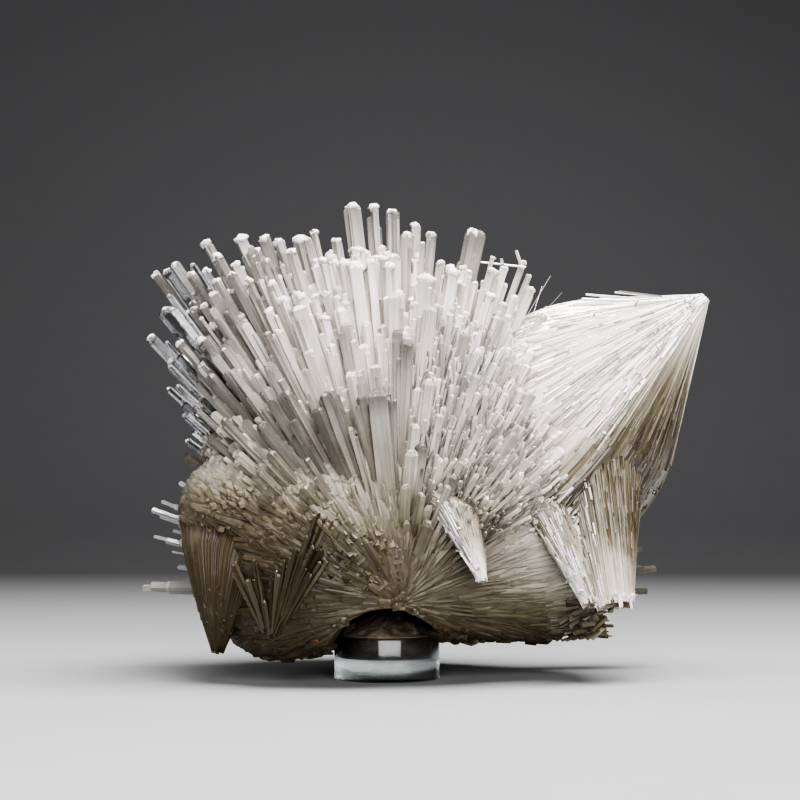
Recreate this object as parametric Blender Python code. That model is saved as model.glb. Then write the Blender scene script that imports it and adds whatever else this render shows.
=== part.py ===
"""A scolecite specimen: one intergrown spray of prismatic crystals on a mound of dark putty in a clear stand.

The origin is at the middle of the stand's foot, on the surface that it stands on. +X runs to the right and +Y
away from someone who looks at the specimen's best side, and +Z is up. Sizes are in metres.
"""

import math
import random

import bmesh
import bpy
from mathutils import Matrix, Vector, noise

MM = 0.001

# Stand: a short clear cup
STAND_RADIUS = 12.5 * MM
STAND_HEIGHT = 9.8 * MM
STAND_WALL = 1.5 * MM
STAND_FLOOR = 5.0 * MM
STAND_EDGE = 0.3 * MM
STAND_SEGMENTS = 40

# Putty: pressed into the cup, heaped over its rim
PUTTY_RADIUS = 12.2 * MM
PUTTY_TOP = 15.8 * MM
PUTTY_LUMP = 0.35 * MM
PUTTY_SEGMENTS = 28
GAP = 0.3 * MM
WELD = 0.002 * MM

# The view that the crystals were read off from: where the eye is, how far it looks up, and the height, on an
# upright sheet at the stand's middle, that the view's middle shows at
EYE = Vector((3.1, -350.0, 36.0)) * MM
LOOK_UP = math.radians(4.9)
VIEW_MIDDLE = 66.7 * MM

# Main spray: a centre, how deep it is to the front and the back, and its reach as seen from the front
SPRAY_CENTRE = Vector((3.1, 3.0, 18.7)) * MM
FRONT_DEPTH = 34.0 * MM
BACK_DEPTH = 43.0 * MM
RIGHT_THINNER = 0.3
OUTLINE = (  # (degrees from the right, counterclockwise; reach in mm)
    (-90, 13), (-60, 14), (-40, 18), (-25, 27), (-14, 45), (0, 54), (18, 59), (32, 62), (45, 66),
    (55, 70), (62, 76), (67, 82), (70, 86), (80, 89), (90, 91), (97, 94), (105, 91), (113, 95), (120, 98),
    (126, 97), (130, 90), (134, 87), (138, 76), (142, 67), (150, 60), (160, 56), (172, 52),
    (180, 49), (194, 47), (205, 36), (215, 25), (240, 16), (270, 13),
)

# How much of the reach is grown solid: less in the upper part, where the long free crystals are, and above all
# in front
SOLID_SHARE_FREE = 0.56
SOLID_SHARE_BEHIND = 0.76
SOLID_SHARE_LOW = 0.90
# Between these rises of a direction (the sine of its slope) the share goes from low to free, later where it is
# solid: at the right, in front and at the back of the left
FREE_RISE = (0.15, 0.70)
FREE_RISE_SOLID = (0.45, 0.95)
CORE_DETAIL = 4
CORE_LUMP = 0.05

# The broken underside: (how far right in mm, height in mm)
UNDERSIDE = ((-60, 9), (-44, 8), (-36, 5), (-18, 5), (-12, 8.4), (20, 9), (45, 8), (60, 9))
UNDERSIDE_LUMP = 1.0 * MM
HOLLOW_GAP = 0.7 * MM

# Sheaves of fibres, each from a narrow end, which is given as (across, up, how far back) in the view in mm.
# A ray is (degrees, length as seen in mm, how far back it ends in mm). The arch is how far the middle stands
# forward
SHEAVES = (
    {  # upper right
        "end": (76.2, 91.2, 2.0), "radius": 1.5, "bow": 1.15, "rays": (
            (187, 46, 2), (196, 56, -8), (208, 63, -13), (222, 66, -15), (235, 63, -18), (243, 60, -13),
            (250, 60, -6), (255, 61, 2), (250, 60, 9), (238, 56, 16), (222, 54, 19), (205, 50, 17),
            (193, 46, 10),
        ),
    },
    {  # lower right, with a broad broken end
        "end": (54.7, 17.2, -13.0), "radius": 4.5, "bow": 1.0, "arch": 2.0, "rays": (
            (110, 42, 2), (104, 43, -6), (97, 43, -10), (90, 41, -8), (84, 38, -1), (88, 38, 6),
            (97, 40, 10), (107, 40, 8),
        ),
    },
    {  # the bright band beside it
        "end": (48.4, 17.8, -20.0), "radius": 1.8, "bow": 1.0, "arch": 4.0, "rays": (
            (125, 37, -8), (119, 38, -10), (113, 37, -10), (108, 34, -9), (105, 30, -6), (114, 30, -1),
            (124, 33, -5),
        ),
    },
    {  # front
        "end": (23.0, 23.2, -29.0), "radius": 1.2, "bow": 1.0, "arch": 5.0, "rays": (
            (118, 24, -8), (112, 26, -9), (103, 23, -10), (94, 18, -12), (90, 14, -12), (105, 18, -6),
            (118, 22, -6),
        ),
    },
    {  # lower left
        "end": (-40.6, 6.2, -14.0), "radius": 1.6, "bow": 1.08, "arch": 7.0, "rays": (
            (105, 40, -3), (97, 40, -9), (87, 37, -13), (77, 32, -15), (68, 28, -15), (62, 24, -9),
            (72, 28, 6), (88, 34, 8), (98, 38, 4),
        ),
    },
    {  # bottom right, spreading sideways
        "end": (14.0, 13.5, -6.0), "radius": 2.0, "bow": 0.95, "rays": (
            (-6, 39, -7), (0, 39, -11), (8, 36, -14), (18, 33, -15), (30, 30, -13), (34, 30, -5),
            (20, 34, 12), (4, 38, 10), (-4, 38, 0),
        ),
    },
)
SHEAF_RINGS = (0.0, 0.45, 1.0)
FLUTE = 0.05

# Rounded masses grown into the middle, as (centre, half size) in mm: at the lower left, under the right
# sheaves and at the left
BULGES = (
    ((-24.0, -6.0, 15.0), (13.0, 19.0, 10.2)),
    ((36.0, -2.0, 34.0), (17.0, 13.5, 17.0)),
    ((-34.5, -3.0, 40.0), (14.5, 16.0, 13.0)),
)

# Crystals that show, as (degrees, reach in mm as seen, width in mm): one that shows shorter than the outline
# leans towards the viewer
CROWN_CRYSTALS = (
    (133.5, 87.5, 3.4), (131, 84, 1.8), (129, 90, 3.8), (126.9, 98.5, 2.6), (125.4, 97.5, 3.2),
    (123.8, 97.5, 2.6),
    (122.6, 93.5, 3.0), (120.4, 92, 2.8), (118.4, 98.5, 2.8), (118, 94, 3.4), (116.2, 90.5, 2.8),
    (113.6, 96, 3.8), (112.6, 91.5, 4.2), (110.5, 93.5, 3.0), (108.6, 91.5, 3.6), (107.2, 88, 2.6),
    (105.1, 90.5, 4.4), (103.2, 91.5, 2.4), (102.6, 84.5, 2.4), (100.1, 88.5, 2.4), (97.8, 82, 5.2),
    (97.0, 96.0, 3.6), (93.9, 95.5, 3.2), (91.1, 94.0, 3.0), (88.9, 88.5, 3.4), (87.6, 91, 2.4),
    (85.1, 89, 3.0), (83.2, 82.5, 2.4), (80.8, 81, 3.8), (78.4, 91, 4.8), (74.4, 83, 3.2),
    (72.4, 83.5, 2.2), (69.9, 86.5, 2.2), (66.9, 81.5, 2.8), (63.5, 77, 3.0), (94.5, 82, 3.2),
)
FACE_CRYSTALS = (
    (121.5, 87, 3.0), (115.4, 85.5, 2.8), (122.9, 83.5, 3.0), (121, 78, 2.8), (127.4, 77, 2.6),
    (130.2, 73, 3.2), (126.7, 68, 2.6), (116, 72, 2.8), (119.3, 65.5, 3.6), (112.6, 60.5, 2.6),
    (109.3, 75, 4.2), (108, 82, 4.2), (118.5, 58, 3.0), (122.8, 57.5, 2.8), (121.2, 50, 2.4),
    (109.2, 53.5, 4.2), (113.3, 50.5, 2.8), (129, 54.5, 3.2), (131.4, 48, 2.4), (137.7, 46, 2.8),
    (134.5, 61, 2.6), (131.4, 36, 2.8), (105.6, 43, 2.2), (102.5, 48, 2.4), (95.9, 51.5, 5.6),
    (95.6, 57, 3.0), (101, 68, 3.8), (88.3, 63.5, 3.6), (91, 74, 4.0), (82.6, 54, 3.2),
    (77.7, 46, 2.8), (84.9, 42.5, 2.6), (85.1, 36.5, 3.8), (65.3, 47, 2.4), (55.4, 49, 4.0),
    (65.9, 36.5, 2.8), (87.7, 29.5, 3.0), (78.5, 26, 2.6), (99, 25, 2.6), (76, 66, 3.8),
    (84, 71, 3.8), (70, 72, 3.4), (63, 64, 3.4), (71, 57, 3.0), (57, 59, 3.2), (145.1, 42, 2.2),
)
FLANK_CRYSTALS = (
    (137.7, 76, 1.8), (136, 74, 2.0), (139.4, 68.5, 2.2), (143, 64, 2.4), (147, 62, 2.6),
    (152, 55, 2.6), (112, 28, 3.0), (125, 27, 2.8), (150, 33, 2.8), (160, 42, 3.0), (158, 24, 2.8),
    (172, 33, 2.8), (40, 33, 3.0), (50, 26, 2.8), (28, 22, 2.8),
)
# Crystals on the far side, as (degrees, reach as seen in mm, how far back the tip is in mm, width in mm)
FAR_CRYSTALS = (
    (152, 60, 24, 2.8), (157.5, 62, 20, 2.0), (160, 63.5, 22, 2.2), (165.5, 61, 22, 2.4),
    (171.5, 54, 24, 2.2), (177.3, 62.5, 28, 3.2), (7, 62.5, 26, 3.4), (2, 60, 24, 2.8), (12, 60, 30, 2.8),
)
BACK_CRYSTALS = 120
BACK_WIDTH = (2.8, 4.8)
CRYSTAL_FLATNESS = 0.8
TIP_SHARE = 0.45
ORIGIN_SHARE = 0.6
ROOT_SHARE = 0.2


def material(name, colour, roughness, transmission=0.0, metallic=0.0):
    """A plain surface in one colour."""
    made = bpy.data.materials.new(name)
    made.use_nodes = True
    shader = made.node_tree.nodes["Principled BSDF"]
    shader.inputs["Base Color"].default_value = (*colour, 1.0)
    shader.inputs["Roughness"].default_value = roughness
    shader.inputs["Metallic"].default_value = metallic
    shader.inputs["Transmission Weight"].default_value = transmission
    return made


def object_of(name, bm, surface=None):
    """A linked object from a bmesh, which is freed."""
    bmesh.ops.recalc_face_normals(bm, faces=bm.faces)
    mesh = bpy.data.meshes.new(name)
    bm.to_mesh(mesh)
    bm.free()
    if surface:
        mesh.materials.append(surface)
    made = bpy.data.objects.new(name, mesh)
    bpy.context.scene.collection.objects.link(made)
    return made


def turned(profile, segments):
    """A bmesh turned about Z from (radius, height) pairs. The first and last lie on the axis."""
    bm = bmesh.new()
    points = [bm.verts.new((radius, 0.0, height)) for radius, height in profile]
    edges = [bm.edges.new(pair) for pair in zip(points, points[1:])]
    bmesh.ops.spin(bm, geom=points + edges, cent=(0, 0, 0), axis=(0, 0, 1), angle=math.tau, steps=segments)
    bmesh.ops.remove_doubles(bm, verts=bm.verts, dist=0.01 * MM)
    return bm


def make_stand():
    """The clear cup: a solid foot, a wall and softened rims."""
    inner = STAND_RADIUS - STAND_WALL
    profile = (
        (0, 0),
        (STAND_RADIUS - STAND_EDGE, 0),
        (STAND_RADIUS, STAND_EDGE),
        (STAND_RADIUS, STAND_HEIGHT - STAND_EDGE),
        (STAND_RADIUS - STAND_EDGE, STAND_HEIGHT),
        (inner + STAND_EDGE, STAND_HEIGHT),
        (inner, STAND_HEIGHT - STAND_EDGE),
        (inner, STAND_FLOOR),
        (0, STAND_FLOOR),
    )
    acrylic = material("acrylic", (0.93, 0.95, 0.96), 0.06, 1.0)
    stand = object_of("clear_stand", turned(profile, STAND_SEGMENTS), acrylic)
    stand.data.shade_smooth()
    stand.data.set_sharp_from_angle(angle=math.radians(30))
    return stand


def mound_height(radius):
    """The putty's top over a given distance from the middle, between the rim and PUTTY_TOP."""
    share = min(1.0, radius / PUTTY_RADIUS)
    rise = PUTTY_TOP - STAND_HEIGHT - GAP
    return STAND_HEIGHT + GAP + rise * (math.cos(share * math.pi / 2) ** 0.85)


def make_putty():
    """The putty mound: a plug in the cup and a lumpy dome that laps over the rim."""
    plug = STAND_RADIUS - STAND_WALL - GAP
    rim = STAND_HEIGHT + GAP
    profile = [(0, STAND_FLOOR + GAP), (plug, STAND_FLOOR + GAP), (plug, rim), (PUTTY_RADIUS, rim)]
    for share in (0.97, 0.86, 0.7, 0.5, 0.27, 0.0):
        radius = PUTTY_RADIUS * share
        profile.append((radius, mound_height(radius)))
    bm = turned(profile, PUTTY_SEGMENTS)
    for vert in bm.verts:
        if vert.co.z > rim + GAP:
            vert.co.z -= PUTTY_LUMP * (0.5 + 0.5 * noise.noise(vert.co * 260))
    return object_of("putty", bm, material("putty", (0.05, 0.04, 0.035), 0.6))


def seen(across, up, depth):
    """The point at a depth behind the stand's middle that shows at (across, up) in the view."""
    ray = Matrix.Rotation(LOOK_UP, 3, "X") @ Vector((across - EYE.x, -EYE.y, up - VIEW_MIDDLE))
    return EYE + ray * ((depth - EYE.y) / ray.y)


def shown(point):
    """Where a point shows in the view, as (across, up)."""
    ray = Matrix.Rotation(-LOOK_UP, 3, "X") @ (point - EYE)
    ray *= -EYE.y / ray.y
    return ray.x + EYE.x, ray.z + VIEW_MIDDLE


def reach_across(fan):
    """The outline's reach at an angle across the front, in metres."""
    fan = (fan + 90) % 360 - 90
    for (low, near), (high, far) in zip(OUTLINE, OUTLINE[1:]):
        if fan <= high:
            return (near + (far - near) * (fan - low) / (high - low)) * MM
    return OUTLINE[-1][1] * MM


def fan_of(direction):
    return math.degrees(math.atan2(direction.z, direction.x))


def envelope(direction):
    """The spray's reach along a unit direction."""
    across = math.hypot(direction.x, direction.z) / reach_across(fan_of(direction))
    depth = FRONT_DEPTH if direction.y < 0 else BACK_DEPTH
    deep = direction.y / (depth * (1 - RIGHT_THINNER * direction.x))
    return 1 / math.hypot(across, deep)


def solid_share(direction):
    """How much of the envelope is solid along a unit direction."""
    solid = min(1.0, max(0.0, direction.x * 2.5, (direction.y - direction.x) * 1.4, direction.y * -1.3))
    start, end = (near + (far - near) * solid for near, far in zip(FREE_RISE, FREE_RISE_SOLID))
    free = min(1.0, max(0.0, (direction.z - start) / (end - start)))
    behind = min(1.0, max(0.0, direction.y * 5))
    least = SOLID_SHARE_FREE + (SOLID_SHARE_BEHIND - SOLID_SHARE_FREE) * behind
    return SOLID_SHARE_LOW + (least - SOLID_SHARE_LOW) * free


def core_radius(direction):
    lump = 1 + CORE_LUMP * noise.noise(direction * 5)
    return envelope(direction) * solid_share(direction) * lump


def underside_height(point):
    """The height of the broken underside at a point."""
    across = point.x / MM
    lump = UNDERSIDE_LUMP * noise.noise(point * 150)
    for (left, near), (right, far) in zip(UNDERSIDE, UNDERSIDE[1:]):
        if across <= right:
            return (near + (far - near) * max(0, across - left) / (right - left)) * MM + lump
    return UNDERSIDE[-1][1] * MM + lump


def core_mesh():
    """The intergrown middle, as a lumpy ball that follows the envelope and is broken off low down."""
    bm = bmesh.new()
    bmesh.ops.create_icosphere(bm, subdivisions=CORE_DETAIL, radius=1.0)
    for vert in bm.verts:
        direction = vert.co.normalized()
        vert.co = SPRAY_CENTRE + direction * core_radius(direction)
        vert.co.z = max(vert.co.z, underside_height(vert.co))
    return bm


def add_bulge(bm, centre, size):
    """One rounded mass."""
    made = bmesh.ops.create_icosphere(bm, subdivisions=3, radius=1.0)
    for vert in made["verts"]:
        lump = 1 + 0.08 * noise.noise(vert.co * 2.5)
        vert.co = (Vector(centre) + Vector(x * y for x, y in zip(vert.co, size)) * lump) * MM


def add_sheaf(bm, end, radius, bow, rays, arch=0.0):
    """One sheaf: a fluted cone whose rays run, bowed outwards, from a narrow end into the rest."""
    tip = seen(*(value * MM for value in end))
    ends = []
    for (fan, reach, back), following in zip(rays, rays[1:] + rays[:1]):
        fan_next, reach_next, back_next = following
        ends.append((fan, reach, back, 1.0))
        ends.append(((fan + fan_next) / 2, (reach + reach_next) / 2, (back + back_next) / 2, 1 - FLUTE))
    far = [ray_end(tip, *ray[:3]) for ray in ends]
    middle = sum(far, Vector()) / len(far)
    axis = (middle - tip).normalized()
    rings = []
    for share in SHEAF_RINGS:
        ring = []
        for place, (_, _, _, flute) in zip(far, ends):
            straight = tip.lerp(place, share)
            core = tip.lerp(middle, share)
            swell = 1 + (bow - 1) * 4 * share * (1 - share)
            point = core + (straight - core) * swell * flute
            point.y -= arch * MM * 4 * share * (1 - share)
            outward = (place - middle) - axis * axis.dot(place - middle)
            ring.append(bm.verts.new(point + outward.normalized() * radius * MM * (1 - share)))
        rings.append(ring)
    for near, further in zip(rings, rings[1:]):
        for i in range(len(near)):
            j = (i + 1) % len(near)
            bm.faces.new((near[i], near[j], further[j], further[i]))
    for ring, place in ((rings[0], tip), (rings[-1], middle + axis * 4 * MM)):
        hub = bm.verts.new(place)
        for i in range(len(ring)):
            bm.faces.new((ring[i], ring[(i + 1) % len(ring)], hub))


def ray_end(tip, fan, reach, back):
    """Where a sheaf's ray ends: seen at an angle and a distance from its narrow end, at a depth."""
    turn = math.radians(fan)
    across, up = shown(tip)
    return seen(across + math.cos(turn) * reach * MM, up + math.sin(turn) * reach * MM, back * MM)


def frame_along(axis, turn=0.0):
    """A rotation whose Z lies along axis, turned about it."""
    return axis.to_track_quat("Z", "Y").to_matrix() @ Matrix.Rotation(turn, 3, "Z")


def add_prism(bm, root, tip, width, turn, lean=0.0):
    """One crystal: four flat sides and a low pyramid whose point stands off the middle by lean widths."""
    axis = (tip - root).normalized()
    turned_frame = frame_along(axis, turn)
    half = (width / 2, width / 2 * CRYSTAL_FLATNESS)
    around = ((1, 1), (-1, 1), (-1, -1), (1, -1))
    corners = [turned_frame @ Vector((x * half[0], y * half[1], 0)) for x, y in around]
    shoulder = tip - axis * width * TIP_SHARE
    low = [bm.verts.new(root + corner * 0.9) for corner in corners]
    high = [bm.verts.new(shoulder + corner) for corner in corners]
    point = bm.verts.new(tip + turned_frame @ Vector((lean * width, 0, 0)))
    bm.faces.new(low[::-1])
    for i in range(4):
        j = (i + 1) % 4
        bm.faces.new((low[i], low[j], high[j], high[i]))
        bm.faces.new((high[i], high[j], point))


def add_spray_crystal(bm, tip, width, rng):
    """A crystal that ends at tip and starts inside the core, near a line through its middle, front to back."""
    away = tip - SPRAY_CENTRE
    origin = SPRAY_CENTRE + Vector((0, away.y * ORIGIN_SHARE, 0))
    if away.length > core_radius(away.normalized()) * 0.9:
        root = origin.lerp(tip, ROOT_SHARE)
        add_prism(bm, root, tip, width, rng.uniform(0, math.pi), rng.uniform(-0.15, 0.15))


def tip_seen(fan, reach):
    """Where a crystal ends that shows at an angle and a reach: on the envelope, nearer the eye if short."""
    share = min(1.0, reach * MM / reach_across(fan))
    depth = -FRONT_DEPTH * math.sqrt(1 - share * share) + SPRAY_CENTRE.y
    turn = math.radians(fan)
    across = SPRAY_CENTRE.x + math.cos(turn) * reach * MM
    return seen(across, SPRAY_CENTRE.z + math.sin(turn) * reach * MM, depth)


def back_directions(count):
    """Unit directions spread evenly over the upper back of the spray."""
    golden = math.pi * (3 - math.sqrt(5))
    for i in range(count):
        rise = -0.05 + 1.03 * (i + 0.5) / count
        ring = math.sqrt(1 - rise * rise)
        direction = Vector((math.cos(i * golden) * ring, math.sin(i * golden) * ring, rise))
        if direction.y > 0.12 and direction.x < 0.8:
            yield direction


def crystals_mesh():
    """All the crystals of the main spray, which the core joins."""
    rng = random.Random(11)
    bm = bmesh.new()
    for fan, reach, width in CROWN_CRYSTALS + FACE_CRYSTALS + FLANK_CRYSTALS:
        add_spray_crystal(bm, tip_seen(fan, reach), width * MM, rng)
    for fan, reach, back, width in FAR_CRYSTALS:
        turn = math.radians(fan)
        across, up = math.cos(turn) * reach * MM, math.sin(turn) * reach * MM
        tip = seen(SPRAY_CENTRE.x + across, SPRAY_CENTRE.z + up, back * MM)
        add_spray_crystal(bm, tip, width * MM, rng)
    for direction in back_directions(BACK_CRYSTALS):
        tip = SPRAY_CENTRE + direction * envelope(direction) * rng.uniform(0.86, 1.0)
        add_spray_crystal(bm, tip, rng.uniform(*BACK_WIDTH) * MM, rng)
    for sheaf in SHEAVES:
        add_sheaf(bm, **sheaf)
    for centre, size in BULGES:
        add_bulge(bm, centre, size)
    return bm


def hollow_mesh():
    """What the stand and the putty take out of the underside, and the view of them from EYE."""
    wide = STAND_RADIUS + HOLLOW_GAP
    steps = [i / 8 for i in range(9)]
    outline = []
    for step in steps:
        radius = wide * math.cos(step * math.pi / 2)
        height = mound_height(radius - HOLLOW_GAP) if radius > HOLLOW_GAP else PUTTY_TOP
        outline.append((radius, height + HOLLOW_GAP))
    bm = turned([(0, -5 * MM), (wide, -5 * MM)] + outline, 24)
    across = [(wide, -5 * MM)] + outline[:-1]
    arch = across + [(0, outline[-1][1])] + [(-x, z) for x, z in across[::-1]]
    near = [bm.verts.new(seen(x * 1.001, z, 0.0)) for x, z in arch]
    far = [bm.verts.new(seen(x * 1.001, z, -60 * MM)) for x, z in arch]
    bm.faces.new(near)
    bm.faces.new(far[::-1])
    for i in range(len(arch)):
        j = (i + 1) % len(arch)
        bm.faces.new((near[i], far[i], far[j], near[j]))
    return bm


def helper(name, bm):
    """A mesh that only joins or cuts another one."""
    made = object_of(name, bm)
    made.hide_render = True
    made.display_type = "WIRE"
    return made


def shells_of(bm):
    """The faces of each closed surface in a mesh."""
    left = set(bm.faces)
    while left:
        shell, rim = [], [left.pop()]
        while rim:
            face = rim.pop()
            shell.append(face)
            edges = [edge for edge in face.edges if len(edge.link_faces) == 2]
            near = {other for edge in edges for other in edge.link_faces} & left
            left -= near
            rim.extend(near)
        yield shell


def combine(target, other, operation):
    """Joins or cuts target, and keeps its largest outer surface, so that no sealed pocket or crumb is left."""
    boolean = target.modifiers.new(operation.lower(), "BOOLEAN")
    boolean.operation = operation
    boolean.solver = "EXACT"
    boolean.use_self = True
    boolean.object = other
    graph = bpy.context.evaluated_depsgraph_get()
    bm = bmesh.new()
    bm.from_object(target, graph)
    target.modifiers.remove(boolean)
    bmesh.ops.triangulate(bm, faces=bm.faces)
    bmesh.ops.remove_doubles(bm, verts=bm.verts, dist=WELD)
    shells = sorted(shells_of(bm), key=len)
    for shell in shells[:-1]:
        bmesh.ops.delete(bm, geom=shell, context="FACES")
    bm.to_mesh(target.data)
    bm.free()


def clear_scene():
    for old in list(bpy.data.objects):
        bpy.data.objects.remove(old, do_unlink=True)


def main():
    clear_scene()
    make_stand()
    make_putty()
    scolecite = material("scolecite", (0.86, 0.83, 0.79), 0.3, 0.4)
    cluster = object_of("scolecite_cluster", core_mesh(), scolecite)
    crystals = helper("crystals_to_join", crystals_mesh())
    combine(cluster, crystals, "UNION")
    combine(cluster, helper("hollow_to_cut", hollow_mesh()), "DIFFERENCE")


main()
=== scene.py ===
"""The look of the scolecite specimen: crystals, fibres, materials, a plain floor, soft light and a camera.

Shapes are worked out in millimetres in the part's own frame: the origin under the stand, +X to the right,
+Y away from the viewer and +Z up. Materials read three values that every crystal carries: "grain" (a place
measured along and across the crystal), "stain_and_shade" (0 clean to 1 brown and dark: partly iron
staining, partly painted shade low down) and "shade" (0 milky to 1 clear and grey; on crystals in front
it also holds painted shade).
"""

import math

import bmesh
import bpy
import numpy as np
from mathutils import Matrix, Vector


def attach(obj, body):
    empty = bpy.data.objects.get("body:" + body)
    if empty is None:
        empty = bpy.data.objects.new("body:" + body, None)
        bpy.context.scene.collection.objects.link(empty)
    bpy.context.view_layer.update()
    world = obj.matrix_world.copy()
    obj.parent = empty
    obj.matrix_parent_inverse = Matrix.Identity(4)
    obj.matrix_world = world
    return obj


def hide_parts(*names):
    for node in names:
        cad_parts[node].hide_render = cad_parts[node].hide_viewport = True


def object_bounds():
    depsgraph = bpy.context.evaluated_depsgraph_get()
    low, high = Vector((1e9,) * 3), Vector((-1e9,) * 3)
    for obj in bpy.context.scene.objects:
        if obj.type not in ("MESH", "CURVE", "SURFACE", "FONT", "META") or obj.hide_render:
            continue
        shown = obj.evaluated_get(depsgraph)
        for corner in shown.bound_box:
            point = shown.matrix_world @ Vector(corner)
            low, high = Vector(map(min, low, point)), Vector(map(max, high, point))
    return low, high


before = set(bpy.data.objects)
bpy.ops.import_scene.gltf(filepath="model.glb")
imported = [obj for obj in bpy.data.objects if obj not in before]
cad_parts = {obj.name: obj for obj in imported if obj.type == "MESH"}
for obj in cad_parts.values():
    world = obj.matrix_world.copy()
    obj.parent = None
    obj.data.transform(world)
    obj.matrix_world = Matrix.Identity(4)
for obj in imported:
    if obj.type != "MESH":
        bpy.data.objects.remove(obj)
cad_box = [list(corner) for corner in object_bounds()]

MM = 0.001
CLUSTER = "scolecite_cluster"
CRYSTAL_IOR, CRUST_IOR, ACRYLIC_IOR = 1.51, 1.5, 1.49
SENSOR_WIDTH = 36.0
# How finely shapes are divided
CORE_FINENESS, LUMP_FINENESS = 7, 2
BODY_ROWS, FLUTES_PER_RAY = 26, 22
RING_SEGMENTS, MOUND_SEGMENTS = 160, 220

# The view that the crystals were read off from
EYE = np.array((3.1, -350.0, 36.0))
LOOK_UP = math.radians(4.9)
VIEW_MIDDLE = 66.7
FOCAL_SHARE = 350 / 192.0

# Main spray
SPRAY_CENTRE = np.array((3.1, 3.0, 18.7))
FRONT_DEPTH = 34.0
BACK_DEPTH = 43.0
RIGHT_THINNER = 0.3
OUTLINE = (  # (degrees from the right, counterclockwise; reach)
    (-90, 13), (-60, 14), (-40, 18), (-25, 27), (-14, 45), (0, 54), (18, 59), (32, 62), (45, 66),
    (55, 70), (62, 76), (67, 82), (70, 86), (80, 89), (90, 91), (97, 94), (105, 91), (113, 95), (120, 98),
    (126, 97), (130, 90), (134, 87), (138, 76), (142, 67), (150, 60), (160, 56), (172, 52),
    (180, 49), (194, 47), (205, 36), (215, 25), (240, 16), (270, 13),
)
SOLID_SHARE_FREE = 0.70
SOLID_SHARE_BEHIND = 0.76
SOLID_SHARE_LOW = 0.90
FREE_RISE = (0.15, 0.70)
FREE_RISE_SOLID = (0.45, 0.95)
ORIGIN_SHARE = 0.6
# Rounded masses grown into the middle: (centre, half size)
BULGES = (
    ((-24.0, -6.0, 15.0), (13.0, 19.0, 10.2)), ((36.0, -2.0, 34.0), (17.0, 13.5, 17.0)),
    ((-34.5, -3.0, 40.0), (14.5, 16.0, 13.0)),
)

# Underside: (how far right, height), and the hollow over the putty
UNDERSIDE = ((-60, 9), (-44, 8), (-36, 5), (-18, 5), (-12, 8.4), (20, 9), (45, 8), (60, 9))
STAND_RADIUS = 12.5
STAND_HEIGHT = 9.8
STAND_WALL = 1.5
STAND_FLOOR = 5.0
PUTTY_RADIUS = 12.2
PUTTY_TOP = 15.8
GAP = 0.3

# Crystals that show, as (degrees, reach as seen, width)
CROWN = (
    (130.7, 81.9, 2.2), (126.9, 98.3, 2.4), (123.8, 97.4, 2.6), (122.7, 93.5, 2.4), (120.6, 92.4, 2.6),
    (118.6, 98.2, 2.8), (118.2, 94.3, 3.2), (116.2, 90.4, 2.6), (117.3, 88.6, 2.4), (115.5, 85.4, 2.6),
    (113.8, 95.7, 3.6), (112.8, 91.4, 3.8), (111.3, 88.1, 2.2), (110.6, 93.4, 3.0), (108.7, 91.7, 3.2),
    (107.4, 88.4, 2.8), (105.6, 90.8, 3.6), (104.8, 90.0, 3.2), (103.2, 91.3, 2.3), (102.8, 84.3, 2.3),
    (100.1, 88.3, 2.3), (99.6, 83.0, 3.8), (97.0, 95.8, 3.5), (97.6, 81.8, 5.0), (94.9, 82.0, 2.6),
    (93.8, 95.3, 3.2), (92.6, 82.6, 2.2), (91.9, 81.0, 3.0), (91.1, 93.8, 2.9), (88.9, 88.3, 3.1),
    (87.7, 90.6, 2.5), (86.4, 86.2, 1.5), (85.4, 78.4, 4.4), (85.1, 88.8, 2.9), (83.1, 82.3, 2.2),
    (80.8, 80.8, 3.8), (78.4, 90.8, 4.7), (74.8, 85.5, 1.4), (74.2, 82.8, 3.0), (72.5, 84.0, 2.1),
    (69.9, 86.7, 1.7), (68.3, 84.1, 1.4), (67.2, 81.6, 2.5), (63.5, 77.0, 2.6),
)
GLASSY = (
    (133.5, 87.3, 3.2), (132.2, 83.6, 1.3), (129.1, 90.2, 3.4), (128.0, 89.0, 1.8), (125.4, 97.3, 3.0),
    (136.2, 74.3, 1.4), (137.6, 75.6, 1.5), (139.3, 68.6, 1.7), (143.2, 64.2, 1.6), (127.2, 92.0, 1.4),
    (121.8, 95.0, 1.6), (134.6, 79.0, 1.4),
)
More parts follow.
